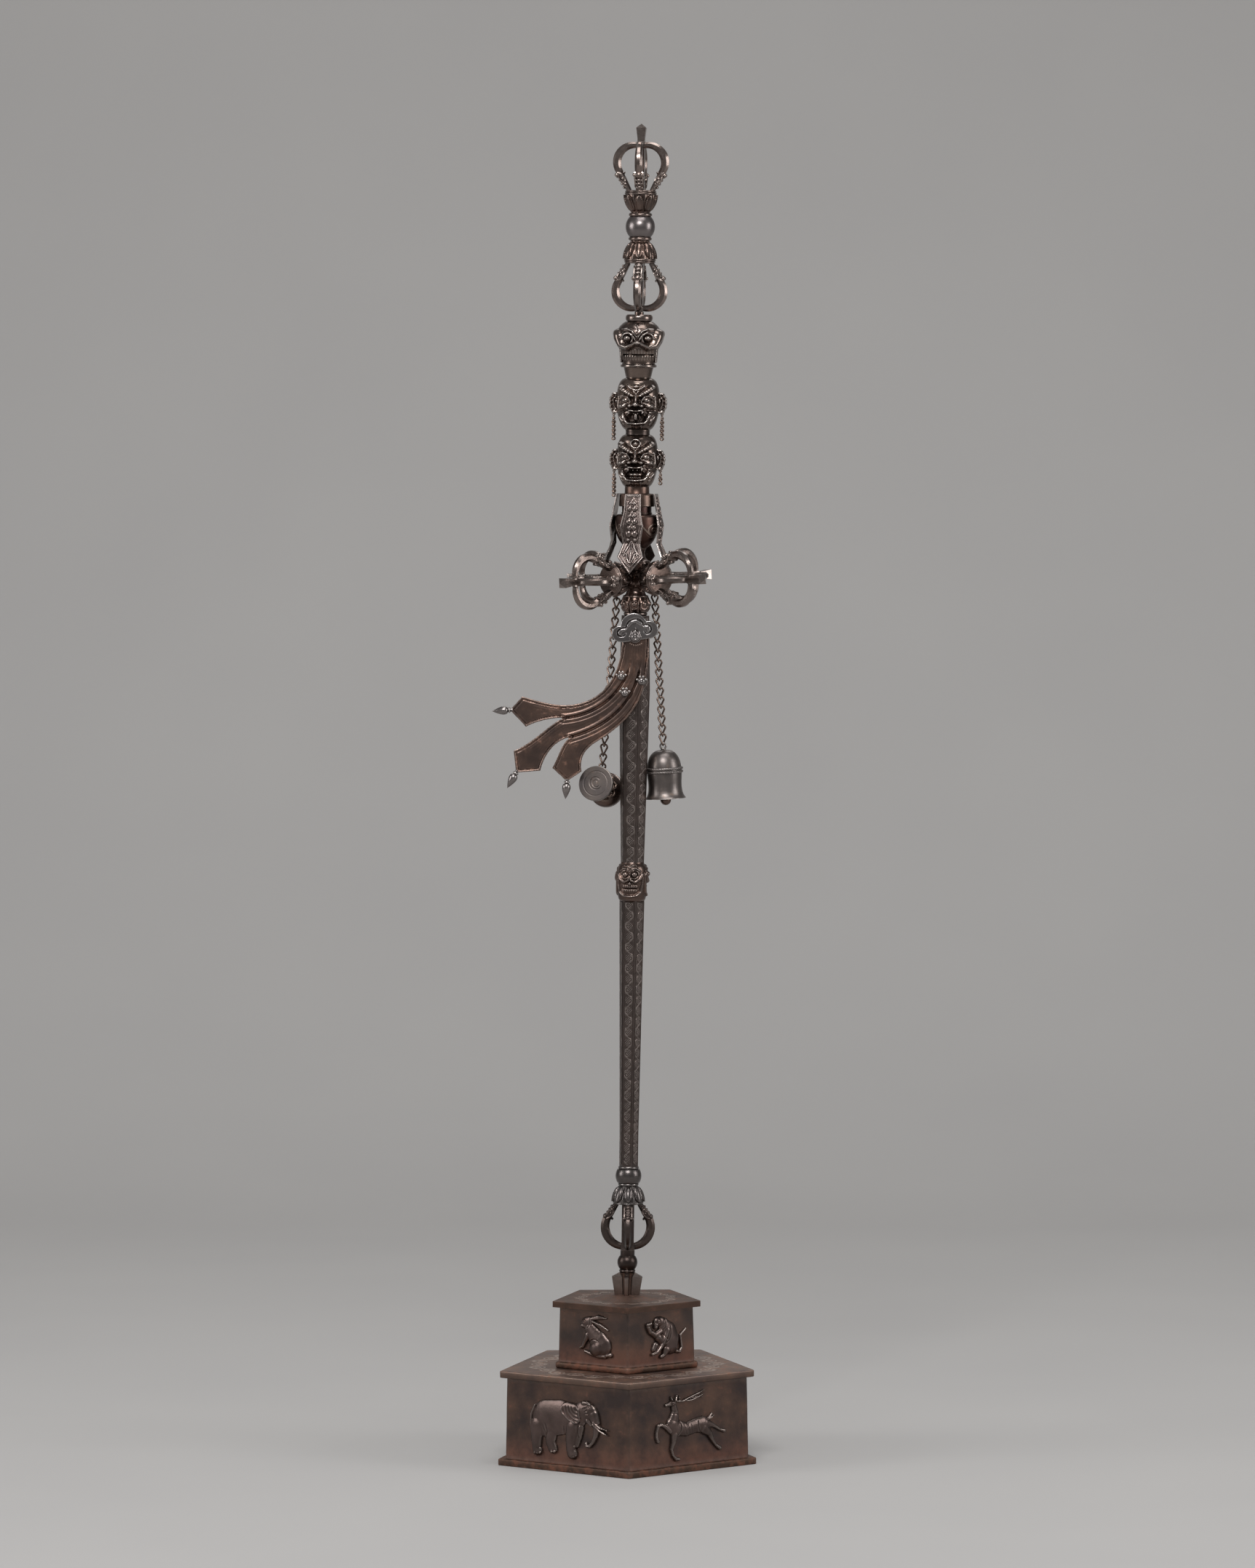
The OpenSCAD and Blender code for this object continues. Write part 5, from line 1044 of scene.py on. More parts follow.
def ribbon_height(x, z):
    """Fluted blades with a rolled edge, channels between them and flat blade roots"""
    deep = from_edge(x, z, ribbon_outline)
    near = np.minimum(*(np.abs(from_line(x, z, line)) for line in CHANNELS))
    painted_shade_below = np.clip((-24 - z) / 14, 0, 1)
    hollow = np.clip(np.minimum(deep, near + 20 * (1 - painted_shade_below)) / 7, 0, 1)
    blade = np.zeros(x.shape)
    for (ax, az), (bx, bz), reach in BLADE_ROOTS:
        side = ((x - ax) * (bz - az) - (z - az) * (bx - ax)) / np.hypot(bx - ax, bz - az)
        away = np.hypot(x - (ax + bx) / 2, z - (az + bz) / 2)
        blade = np.maximum(blade, np.clip(side / 6, 0, 1) * np.clip((reach - away) / 3, 0, 1))
    rim = 0.6 * ridge(deep - 0.8, 0.8) - 0.8 * ridge(deep - 2.5, 0.6)
    inner = 0.25 * ridge(deep - 3.3, 0.5) * (1 - blade)
    furrow = painted_shade_below * (0.6 * ridge(near - 2.4, 1.2) - 1.3 * ridge(near, 1.0)
                      - 0.35 * ridge(near - 5.2, 0.8))
    along = 0.10 * np.cos(tau * x / 2.6) * np.clip((z + 46) / 20, 0, 1)
    drawn = 0.05 * np.cos(tau * np.minimum(deep, near) / 3.1) * np.clip((-z - 26) / 20, 0, 1)
    return (PLATE_FRONT - 0.7 + 0.9 * (1 - (1 - hollow) ** 2) * (1 - 0.7 * blade) + rim + inner
            + furrow + (along + drawn) * (1 - blade) * np.clip((deep - 2) / 2, 0, 1))


bm = bmesh.new()
carved(bm, lambda x, z: from_edge(x, z, ribbon_outline), ribbon_height, (-129, -152), (16, 5),
       0.62, back=PLATE_BACK)
for a in np.radians(13 * np.arange(-3, 4)):
    ball(bm, (0.6 + 9.3 * sin(a), -PLATE_FRONT - 0.2, -0.6 - 9.3 * cos(a)), 0.9, (1, 0.7, 1.2),
         steps=12)
place("ribbon_forged", bm, RIBBON, "ribbon", at=lift(RIVET_Z), crease=50)

bm = bmesh.new()
boss = ([(0, -1), (4.3, -1), (4.3, 0.5), (3.9, 1.0)]
        + curve([(3.7, 1.0), (3.7, 3.2), (2.6, 4.3), (1.1, 4.4)], 10)
        + curve([(1.1, 4.4), (1.0, 5.2), (0.6, 5.5), (0, 5.5)], 6)[1:])
for x, z in BOSS_SPOTS:
    move(bm, turned(bm, boss, 40), Matrix.Translation((x, -PLATE_FRONT - 0.2, z)) @ FACING)
    for a in np.radians((20, 70, 290, 340)):
        ball(bm, (x + 4.9 * sin(a), -PLATE_FRONT - 0.4, z + 4.9 * cos(a)), 1.2, (1, 0.6, 1),
             steps=12)
place("ribbon_bosses_domed", bm, STEEL, "ribbon_bosses", at=lift(RIVET_Z))

bm = bmesh.new()
drop = ([(0, -2.6), (1.9, -2.6), (1.9, -0.4)]
        + curve([(2.6, -0.2), (3.3, 0.4), (3.2, 1.6), (2.1, 2.0)])
        + curve([(2.1, 2.2), (5.7, 4.0), (5.1, 9.0), (0, 18.6)], 26))
for (x, z), turn in zip(TAIL_TIPS, TAIL_TURNS):
    tip = Matrix.Translation((x, -(PLATE_FRONT - PLATE_BACK) / 2, z)) @ spun(-turn, "Y")
    move(bm, turned(bm, drop, 40), tip)
place("ribbon_drops_turned", bm, STEEL, "ribbon_drops", at=lift(RIVET_Z))

CLOUD = [(-1.5, 10.0, 13.6), (14.4, 6.7, 9.2), (-15.6, 2.0, 8.4)]
CLOUD_BODY = [(-15.6, -6.2), (-12.4, -6.8), (14, -2.4), (12, 14), (-13, 14)]
CLOUD_LINE = [p for guide in (
    [(-9.6, 2.4), (-11.6, -1.6), (-18.4, -1.8), (-18.6, 3.0)],
    [(-18.6, 3.0), (-18.4, 7.0), (-12.4, 9.2), (-9.4, 8.4)],
    [(-9.4, 8.4), (-9.4, 14.0), (-4.6, 17.8), (0.8, 17.8)],
    [(0.8, 17.8), (5.2, 17.4), (8.0, 14.6), (7.9, 11.4)],
    [(7.9, 11.4), (11.4, 13.6), (16.4, 11.4), (16.4, 7.0)],
    [(16.4, 7.0), (16.2, 2.4), (9.6, 1.0), (9.4, 5.0)]) for p in curve(guide)]


def cloud_edge(x, z):
    return np.maximum.reduce([r - np.hypot(x - cx, z - cz) for cx, cz, r in CLOUD]
                             + [from_edge(x, z, CLOUD_BODY)])


def cloud_height(x, z):
    cushions = [stroke(x, z, (-7.4, 10.4, 1.8, 0.9), (-4.2, 14.2, 2.0, 1.1), (0.8, 15.2, 2.2, 1.1),
                       (5.0, 12.6, 2.2, 1.1)),
                stroke(x, z, (-10.6, 6.4, 1.6, 0.9), (-14.2, 5.4, 2.0, 1.1),
                       (-16.0, 2.4, 1.8, 1.0)),
                stroke(x, z, (9.8, 9.6, 1.8, 1.0), (13.0, 9.4, 2.0, 1.1), (13.8, 6.4, 1.8, 0.9)),
                dome(x, z, -9.6, 2.2, 1.2, 1.1, 0.8)]
    return (PLATE_FRONT + PLAQUE_T - 0.5 + 0.5 * rounded(cloud_edge(x, z), 1.0)
            + np.maximum.reduce(cushions) - grooves(x, z, (1.1, 0.6, CLOUD_LINE)))


def drop_edge(x, z):
    return strokes(x, z, [(0, -0.6, 6.6, 1), (0, 2.4, 5.0, 1), (0, 8.4, 0.6, 1)])[0]


def drop_height(x, z):
    deep = drop_edge(x, z)
    back = 3.4 * rounded(deep, 5.6) * np.clip((deep - 1.0) / 0.8, 0, 1)
    ring = circle(x, z, 0, -1.0, 2.5, 0.55, 0.5) + circle(x, z, 0, -1.0, 0.4, 0.7, 0.5)
    return PLATE_FRONT + PLAQUE_T + 0.7 * np.clip(deep / 0.6, 0, 1) + back + ring


for name, node, metal, edge, height, low, high, step in (
        ("cloud_plaque_chased", "cloud_plaque", PLAQUE, cloud_edge, cloud_height,
         (-25, -8), (24.6, 24.6), 0.4),
        ("plaque_rivet_domed", "plaque_rivet", STEEL, drop_edge, drop_height,
         (-7, -8), (7, 11), 0.35)):
    bm = bmesh.new()
    carved(bm, edge, height, low, high, step, back=-PLATE_FRONT)
    place(name, bm, metal, node, at=lift(RIVET_Z), crease=50)


# Lappets: drawn flat, then bent out over the vase

LAPPET = [(8.4, 0), (8.9, -18), (12.25, -34), (9.25, -51), (13.75, -65), (0, -82.3)]
LAPPET += [(-w, z) for w, z in LAPPET[-2::-1]]
LAPPET_SIDE = [(-82.3, 14.4), (-70.3, 12.4), (-51, 4.3), (-32, 5.9), (0, 0)]


def lappet_edge(x, z):
    return from_edge(x, z, LAPPET)


def lappet_height(x, z):
    """Pairs of leaves down the middle over a fleur, inside a double rim"""
    deep, s = lappet_edge(x, z), np.abs(x)
    work = [0.9 * np.sqrt(np.clip(1 - ((deep - 1.1) / 1.15) ** 2, 0, 1)),
            0.45 * ridge(deep - 3.4, 0.45) * (z < -8)]
    for middle, size in ((-11.5, 0.9), (-24.5, 1.0), (-37.5, 1.1)):
        work += [dome(s, z, 2.8 * size, middle - 3.6 * size, 3.1 * size, 3.6 * size, 2.3),
                 dome(s, z, 1.9 * size, middle + 2.2 * size, 2.2 * size, 2.6 * size, 1.8),
                 mound(x, z, 0, middle + 5.4 * size, 1.8, 2.4, 1.2)]
    work += [stroke(x, z, (0, -49, 0.7, 1.0), (0, -60, 1.0, 1.5), (0, -76.5, 0.4, 0.7)),
             stroke(s, z, (1.2, -50, 0.7, 1.0), (3.2, -54, 1.5, 1.6), (5.4, -58.6, 1.2, 1.5),
                    (8.4, -62.4, 0.7, 1.0)),
             stroke(s, z, (0.8, -71, 0.7, 1.0), (3.0, -66.5, 1.4, 1.6), (4.0, -61.8, 1.1, 1.5),
                    (6.4, -61.0, 0.9, 1.3), (6.8, -63.6, 0.8, 1.2)),
             stroke(s, z, (1.0, -74.6, 0.6, 0.9), (4.8, -70.4, 1.1, 1.3), (8.2, -66.0, 0.6, 1.0)),
             dome(s, z, 3.6, -47.6, 1.7, 2.2, 1.5), dome(s, z, 2.4, -52.4, 1.4, 1.7, 1.4)]
    return 1.1 + np.maximum.reduce(work)


def lappet(bm):
    points = carved(bm, lappet_edge, lappet_height, (-14, -82.6), (14, 0.3), 0.42)
    heights, outs = zip(*LAPPET_SIDE)
    for v, out in zip(points, np.interp([v.co.z for v in points], heights, outs)):
        v.co.y -= out + 18.55
    rod(bm, [(-6.4, -20.4, -2.4), (6.4, -20.4, -2.4)], 1.0)


LAPPET_SHAPE = made_once(lappet)
for side, turn in {"front": 0, "right": -90, "back": 180, "left": 90}.items():
    bm = bmesh.new()
    set_in(bm, LAPPET_SHAPE, lift(LOW_NECK_Z, SHAFT_TURN + turn))
    place("lappet_%s_chased" % side, bm, LAPPETS, "lappet_" + side, crease=60, keen=0.8)


# Chains

def link(bm, bend, half, wire, start=0, twist=90):
    """A twisted link: its top end lies at the start angle, its bottom end turned on by twist"""
    path = []
    for a in tau * np.arange(26) / 26:
        x, z = bend * cos(a), bend * sin(a) + (half - bend) * (1 if sin(a) >= 0 else -1)
        share = min(1, max(0, 0.5 - z / (2 * half - wire)))
        turn = radians(start + twist * share * share * (3 - 2 * share))
        path.append((x * cos(turn), x * sin(turn), z))
    rod(bm, path, wire * 0.98, closed=True)


def chain(node, shapes, root, pitch, top, links, turn=0):
    """Links down from a root, the first one in its own shape, each a little out of line"""
    bm = bmesh.new()
    for i in links:
        set_in(bm, shapes[min(i, 1)], root @ lift(top - pitch * i) @ spun(turn + 4 * sin(i * 2.4)))
    place(node + "_links", bm, COPPERY, node, body=node, crease=60)


SMALL_LINK = made_once(link, 1.4, 2.7, 0.5)
WORN_LINK = made_once(link, 1.65, 2.85, 0.8)
BELL_LINK = made_once(link, 3.5, 5.9375, 1.0)
DRUM_LINK = made_once(link, 3.5, 6.1806, 1.0)
BELL_EYE = Matrix.Translation((19.6, 6, 895.7)) @ spun(-3.95, "Y")
DRUM_EYE = Matrix.Translation((-19.6, 6, 891.7)) @ spun(4.22, "Y")
for hung, shape, eye, pitch, top, count in (
        ("bell", BELL_LINK, BELL_EYE, 9.625, -3.6875, 8),
        ("drum", DRUM_LINK, DRUM_EYE, 91 / 9, 2.25 - 6.1806, 9)):
    for part, first in (("upper", 0), ("lower", count)):
        chain("%s_chain_%s" % (hung, part), (shape, shape), eye, pitch, top,
              range(first, first + count))
for level, z, r in (("upper", UP_HEAD_Z, UP_HEAD_R), ("lower", LOW_HEAD_Z, LOW_HEAD_R)):
    for side, sign in (("left", -1), ("right", 1)):
        node = "ear_chain_%s_%s" % (level, side)
        count = 3 if node == "ear_chain_lower_right" else 6
        lobe = lift(z, HEAD_TURN) @ Matrix.Translation((sign * (r + EAR_REACH), 0, 15.0))
        chain(node, (SMALL_LINK, WORN_LINK), lobe, 4.2, -1.5, range(count), 90)


# Bell and drum

def roped(points, r, count, high):
    """Twists a plain ring into a rope"""
    for v in points:
        a, out = np.arctan2(v.co.y, v.co.x), np.hypot(v.co.x, v.co.y)
        grown = 1 + high / r * cos(count * a + 1.9 * (v.co.z % 2.8)) * (out > r - 1.5)
        v.co.x, v.co.y = v.co.x * grown, v.co.y * grown


AT_BELL = Matrix.Translation((30.2, 6, 742.07)) @ spun(-3.5, "Y")
BELL_DROP, BELL_H, BELL_LOOP = 54.95, 50.4, 2.9
bm = bmesh.new()
outer = (curve([(21.4, 0), (18.0, 3), (16.6, 9), (17.6, 20)], 24)
         + curve([(18.0, 25), (18.5, 42), (12.8, BELL_H), (2.5, BELL_H)], 28))
inner = (curve([(18.6, 0), (16.0, 3), (14.4, 9), (15.4, 20)], 16)
         + curve([(15.8, 25), (16.3, 40), (11.0, 48.2), (0, 48.2)], 16))
turned(bm, inner[::-1] + [(19.4, 0), (21.0, 0)] + outer[1:]
       + [(2.5, BELL_H + 1), (0, BELL_H + 1)], 112)
for z in (26.2, 29.6):
    band = turned(bm, [(17.4, z)] + ring_outline(19.3, 2.8, z)[1:-1] + [(17.4, z + 2.8)], 168)
    roped(band, 19.3, 42, 0.22)
turned(bm, [(16.9, 4.4), (17.9, 4.4), (17.7, 5.0), (17.2, 5.6), (16.0, 5.6)], 112)
move(bm, bm.verts[:], lift(-BELL_DROP))
for z in (2.25 - BELL_LOOP, BELL_H - 2.2 - BELL_LOOP - BELL_DROP):
    rod(bm, hoop(0, z, BELL_LOOP, 32), 0.98, sides=10, closed=True)
place("bell_turned", bm, BELL, "bell", body="bell", at=AT_BELL)

AT_DRUM = Matrix.Translation((-33, 6, 698.45)) @ spun(-17)
DRUM_FACING = AT_DRUM @ spun(-13, "X") @ FACING
DRUM_HALF, DRUM_R = 21.0, 18.3
side = [(5.89, 0), (5.89, 3.6)] + curve([(5.89, 3.6), (6.9, 7.6), (16.3, 14.0), (17.7, 19.0)],
                                        20)[1:]
bm = bmesh.new()
turned(bm, [(0, -19)] + [(r, -z) for r, z in side[::-1]] + side[1:] + [(0, 19)], 80)
for sign in (-1, 1):
    turned(bm, [(16.4, sign * 17.4), (18.1, sign * 17.6), (18.2, sign * 18.3),
                (18.1, sign * 19.0), (16.4, sign * 19.0)], 80)
place("drum_shell_turned", bm, DARK, "drum_shell", body="drum", at=DRUM_FACING)

CURLS = [(0.32, 0.4, curve([(5.6, -3.4), (3.0, -8.2), (-6.2, -6.4), (-6.6, 0.6)], 10)
          + curve([(-6.6, 0.6), (-6.6, 6.6), (1.0, 8.4), (3.8, 4.2)], 10)[1:]),
         (0.3, 0.35, curve([(3.2, -2.6), (1.6, -5.2), (-3.6, -3.6), (-3.4, 0.6)], 10)
          + curve([(-3.4, 0.6), (-3.2, 4.0), (2.0, 4.0), (1.8, 0.8)], 10)[1:])]


def swirl(x, z):
    """Worn engraving on a drum face: a hooked double curl inside a ring"""
    return np.maximum.reduce([grooves(x, z, curl) for curl in CURLS]
                             + [0.2 * ridge(np.hypot(x, z) - 12.8, 0.35)])


bm = bmesh.new()
face = [(r, 0.0) for r in np.linspace(0, DRUM_R - 0.7, 44)]
face += [(DRUM_R - 0.15, -0.35), (DRUM_R, -1.0), (DRUM_R - 0.15, -1.8), (0, -2.0)]
for end in (Matrix(), FLIP):
    points = turned(bm, face)
    for v in points:
        if v.co.z > -0.01 and np.hypot(v.co.x, v.co.y) < DRUM_R - 1:
            v.co.z -= float(swirl(np.array(v.co.x), np.array(v.co.y)))
    move(bm, points, DRUM_FACING @ end @ lift(DRUM_HALF))
place("drum_faces_engraved", bm, DRUM_FACE, "drum_faces", body="drum")

# The chain round the drum's waist lies link in link
WRAP_R, WRAP_LINKS, WRAP_TWIST, WRAP_LOOSE = 10.59, 10, 80, 1.14
WRAP_LINK = 3.4, 4.625, 1.0
bm = bmesh.new()
for k in range(WRAP_LINKS):
    turn, twist, loose = ((90 + (k - 1) * (WRAP_TWIST + 90) + WRAP_TWIST, -WRAP_TWIST, WRAP_LOOSE)
                          if k else (0, 0, 1))
    set_in(bm, made_once(link, *WRAP_LINK, turn, twist),
           Matrix.Diagonal((loose, 1, loose, 1)) @ Matrix.Rotation(tau * k / WRAP_LINKS, 4, "Y")
           @ lift(WRAP_R) @ Matrix.Rotation(pi / 2, 4, "Y"))
place("drum_winding_links", bm, COPPERY, "drum_winding", body="drum", at=AT_DRUM, crease=60)


# Point of the staff: two crossed fins round a slim core

FIN = [(94.8, 0.5, 1.4)] + [(z, w * sqrt(2), t * sqrt(2)) for z, w, t in (
    (140, 7.6, 1.5), (189.4, 15.8, 2.1), (190.4, 15.6, 2.0), (194.5, 8.2, 2.0))]
bm = bmesh.new()
for turn in (0, 90):
    fin = rod(bm, [(0, 0, z) for z, w, t in FIN], [(w, t) for z, w, t in FIN], sides=4,
              square=True)
    move(bm, fin, spun(turn))
turned(bm, [(0, 94.8), (0.6, 94.9), (5.9, 189.4), (8.2, 194.5), (0, 194.5)], 40)
long_edges = [e for e in bm.edges if rise(e) > 20 and len(e.link_faces) == 2
              and e.calc_face_angle(0) > 1.0]
bmesh.ops.bevel(bm, geom=long_edges, offset=0.45, segments=2, affect="EDGES", profile=0.6)
place("finned_point_forged", bm, DARK, "finned_point", at=lift(0, 3), crease=30)


# Stand: plates and walls of forged sheet, a little uneven as the hammer left them

def hammered(points, size, high):
    """Very shallow dents and waves, fixed by formula"""
    for v in points:
        x, y, z = v.co / size
        wave = (sin(1.7 * x + 0.6 * z + 1) * sin(1.3 * y - 0.8 * z)
                + 0.6 * sin(3.1 * x - 2.2 * y + 1.4 * z))
        v.co += Vector((v.co.x, v.co.y, 0)).normalized() * wave * high


def five_sided(r, top_r, h, z, closed):
    bm = bmesh.new()
    bmesh.ops.create_cone(bm, cap_ends=closed, segments=5, radius1=r, radius2=top_r, depth=h,
                          matrix=lift(z + h / 2))
    corner_to(bm, radians(STAND_TURN) - pi / 2)
    return bm


def plate(node, r, h, z, metal, bevel=1.2):
    bm = five_sided(r, r, h, z, True)
    around = [e for e in bm.edges if rise(e) < 0.1]
    bmesh.ops.subdivide_edges(bm, edges=around, cuts=23, use_grid_fill=False)
    ring = [e for e in bm.edges if e.is_manifold and e.calc_face_angle(0) > 0.5]
    bmesh.ops.bevel(bm, geom=ring, offset=bevel, segments=3, affect="EDGES", profile=0.5)
    hammered([v for v in bm.verts if v.co.xy.length > r * 0.7], 9.0, 0.16)
    place(node + "_forged", bm, metal, node, body="stand", leaning=False)


def wall(name, node, r, h, z, metal):
    """A shell of five sheets with rounded corners"""
    bm = five_sided(r, r - WALL_SLANT, h, z, False)
    upright = [e for e in bm.edges if rise(e) > 0.1]
    bmesh.ops.bevel(bm, geom=upright, offset=1.6, segments=3, affect="EDGES", profile=0.5)
    wide = [e for e in bm.edges if e.calc_length() > 20 and rise(e) < 0.1]
    bmesh.ops.subdivide_edges(bm, edges=wide, cuts=47, use_grid_fill=True)
    tall = [e for e in bm.edges if e.calc_length() > 20]
    bmesh.ops.subdivide_edges(bm, edges=tall, cuts=27, use_grid_fill=True)
    hammered(bm.verts, 11.0, 0.14)
    bmesh.ops.recalc_face_normals(bm, faces=bm.faces)
    bmesh.ops.solidify(bm, geom=bm.faces[:], thickness=4.0)
    place(name, bm, metal, node, body="stand", leaning=False, crease=50)


plate("lower_foot_plate", 140.5, 7.0, 0, RUSTY)
plate("lower_top_plate", 138.3, 7.3, LOW_WALL_Z + LOW_WALL_H, TOP_LOW)
plate("upper_foot_plate", 78.0, 7.0, 98.1, RUSTY, 2.4)
wall("lower_wall_sheets", "lower_wall_panels", LOW_WALL_R, LOW_WALL_H, LOW_WALL_Z, WALL)
wall("upper_wall_sheets", "upper_wall_panels", HIGH_WALL_R, HIGH_WALL_H, HIGH_WALL_Z, WALL_HIGH)


# Animals on the walls: x along the wall, z up from its foot

ELEPHANT = [
    [(-25, 46, 19.5, 3.9), (-8, 48.5, 18.4, 4.1), (12, 51.5, 13.6, 3.7)],
    [(20, 56, 11.4, 4.0), (29.5, 56.5, 8.8, 4.2)],
    [(22, 65.5, 3.4, 3.6), (26, 66, 2.6, 3.8), (30, 64.5, 2.0, 3.8)],
    [(33.5, 54, 6.8, 4.2), (36.6, 47, 5.6, 4.2), (37.6, 40, 4.2, 3.8), (36.6, 32.5, 3.1, 3.4),
     (33.4, 26, 2.5, 3.1), (29.4, 21.6, 2.1, 2.9), (25.6, 21.4, 1.9, 2.8), (25.0, 24.4, 1.6, 2.6)],
    [(35.5, 46.6, 1.9, 5.0), (43, 41.6, 1.5, 4.6), (52.6, 39.4, 0.7, 2.6)],
    [(35.2, 44.6, 1.9, 5.3), (43, 38.6, 1.6, 5.0), (52.6, 34.2, 0.7, 2.8)],
    [(27, 48, 3.6, 3.6), (31.8, 43.6, 2.0, 3.2)],
    [(-36, 38, 10.5, 4.2), (-37.6, 26, 7.0, 3.9), (-37.2, 15, 5.4, 3.6), (-36.4, 12.6, 6.2, 3.6)],
    [(-20, 32, 8.5, 2.8), (-20.2, 22, 6.0, 2.8), (-17.2, 15.6, 5.8, 2.8)],
    [(8.4, 40, 9.2, 4.7), (6.4, 26, 7.4, 4.4), (6.2, 16, 6.2, 4.1), (7.6, 12.6, 6.6, 4.1)],
    [(17.6, 40, 4.6, 3.0), (15.4, 30, 4.0, 2.8), (12.6, 22, 3.8, 2.6)],
    [(-38.8, 59, 1.4, 3.6), (-43.4, 50, 1.2, 3.2), (-44.2, 40, 1.2, 3.2), (-42.4, 31, 2.0, 3.0)],
]
DEER = [
    [(-30.0, 63.4, 1.9, 2.6), (-26, 64.2, 2.6, 3.0), (-20.8, 65.0, 3.8, 3.6)],
    [(-18.0, 67.4, 1.5, 3.0), (-16.4, 72.6, 0.7, 1.8)],
    [(-22.4, 67.8, 1.2, 2.8), (-23.8, 71.8, 0.6, 1.8)],
    [(-16.6, 66.6, 1.2, 3.0), (-9, 66.2, 1.2, 2.8), (0, 69.4, 1.1, 2.6), (10, 72.2, 1.0, 2.2),
     (18.9, 75.4, 0.6, 1.6)],
    [(-9, 66.2, 1.0, 2.6), (2, 66.2, 1.1, 2.4), (11, 68.6, 1.0, 2.2), (18.4, 71.6, 0.6, 1.6)],
    [(-4, 68.2, 1.0, 2.4), (8, 69.2, 1.0, 2.2), (17.2, 68.2, 0.6, 1.4)],
    [(-12.6, 66.6, 0.9, 2.4), (-13.4, 72.0, 0.6, 1.6)],
    [(-20.4, 63, 3.4, 3.3), (-18.6, 56.4, 4.2, 3.6), (-20.2, 48, 6.6, 4.0)],
    [(-21.4, 43, 8.4, 4.4), (-17.6, 37.4, 8.6, 4.6)],
    [(-16, 39, 8.6, 4.2), (-4, 36.4, 7.4, 3.9), (8, 39.4, 7.8, 4.0), (17, 39.8, 9.0, 4.5)],
    [(24.6, 45.2, 2.2, 3.0), (28.6, 46.4, 1.6, 2.6), (32.0, 48.6, 0.5, 1.4)],
    [(25, 46, 1.8, 2.8), (29.4, 50.8, 0.5, 1.4)],
    [(-25, 36.4, 3.2, 3.4), (-31, 41.4, 2.7, 3.2), (-36.4, 44.0, 2.3, 3.0), (-40.6, 43.0, 2.0, 3.0),
     (-42.8, 37.0, 1.5, 2.6), (-43.0, 31.6, 1.5, 2.6), (-40.9, 27.0, 2.2, 2.8)],
    [(-19.6, 33, 4.6, 4.4), (-21.4, 24.6, 2.9, 3.8), (-23.8, 17.4, 1.9, 3.0),
     (-22.4, 11.4, 1.6, 2.8),
     (-18.0, 7.0, 2.5, 3.0), (-14.6, 6.6, 2.2, 2.8)],
    [(20, 40.6, 6.2, 4.4), (28.4, 38.6, 3.2, 3.4), (33.4, 36.2, 2.2, 2.8), (39.4, 32.4, 1.6, 2.6),
     (44.6, 31.0, 2.5, 2.8)],
    [(17.6, 36.8, 7.0, 4.7), (25.4, 30.0, 3.9, 3.8), (29.4, 22.4, 2.2, 3.0), (33.0, 17.4, 1.7, 2.8),
     (38.8, 13.4, 2.7, 3.0)],
]
HARE = [
    [(-8.4, 43.2, 6.0, 3.3), (-3.6, 44.6, 5.6, 3.5)],
    [(-12.4, 39.8, 2.6, 2.8), (-8.0, 39.4, 3.4, 3.0)],
    [(-1.6, 47.4, 1.8, 2.8), (7.0, 49.4, 2.9, 2.9), (16.8, 49.0, 0.8, 1.5)],
    [(1.0, 44.6, 1.8, 3.4), (9.6, 41.6, 2.3, 3.5), (19.4, 36.8, 0.9, 1.8)],
    [(-3.4, 37.6, 6.6, 3.5), (1.4, 31.4, 8.6, 3.9), (7.4, 24.4, 11.4, 4.2),
     (10.6, 20.0, 12.6, 4.4)],
    [(5.2, 16.6, 9.0, 5.0), (8.6, 18.2, 9.4, 5.2)],
    [(-5.6, 30.6, 3.9, 3.7), (-9.6, 23.0, 2.5, 3.1), (-12.0, 18.2, 1.9, 2.7),
     (-14.8, 16.8, 1.8, 2.5)],
    [(-8.6, 13.4, 1.9, 2.6), (-1.0, 11.2, 2.8, 3.1), (8.0, 9.8, 3.2, 3.2), (16.0, 9.6, 2.6, 3.0)],
    [(18.6, 10.6, 2.0, 2.8), (22.6, 11.4, 2.8, 3.1)],
]
MONKEY = [
    [(-4.6, 44.4, 5.6, 3.7), (-1.0, 44.6, 5.4, 3.9)],
    [(-7.6, 41.4, 3.2, 3.9), (-8.2, 39.2, 2.4, 3.8)],
    [(2.4, 41.4, 7.2, 3.9), (8.8, 34.4, 9.8, 4.4), (11.6, 25.4, 10.6, 4.6), (11.4, 18.6, 9.4, 4.4)],
    [(6.4, 35.6, 4.4, 5.1), (2.6, 27.0, 3.4, 5.3), (-2.2, 18.6, 2.7, 5.0), (-7.6, 12.8, 2.1, 4.2),
     (-12.6, 11.4, 1.9, 3.6)],
    [(-1.4, 34.6, 3.6, 3.5), (-8.6, 31.2, 3.7, 3.7), (-14.6, 34.6, 2.9, 3.4),
     (-17.8, 39.8, 2.2, 3.2)],
    [(-18.0, 42.2, 2.4, 3.3), (-14.6, 43.6, 1.7, 3.4)],
    [(-4.6, 28.4, 4.6, 4.7), (1.4, 22.4, 5.2, 4.6)],
    [(-8.0, 20.4, 3.7, 3.2), (-10.6, 16.2, 3.1, 3.0)],
    [(6.0, 14.8, 5.4, 4.2), (2.4, 9.6, 2.5, 3.4), (-0.8, 8.2, 2.4, 3.2)],
    [(18.4, 12.4, 2.2, 3.0), (22.8, 11.4, 1.9, 2.8), (25.4, 16.0, 1.6, 2.7), (24.4, 23.0, 1.4, 2.6),
     (23.6, 28.8, 1.4, 2.6), (27.0, 31.6, 1.4, 2.4), (31.4, 35.4, 0.6, 1.5)],
]


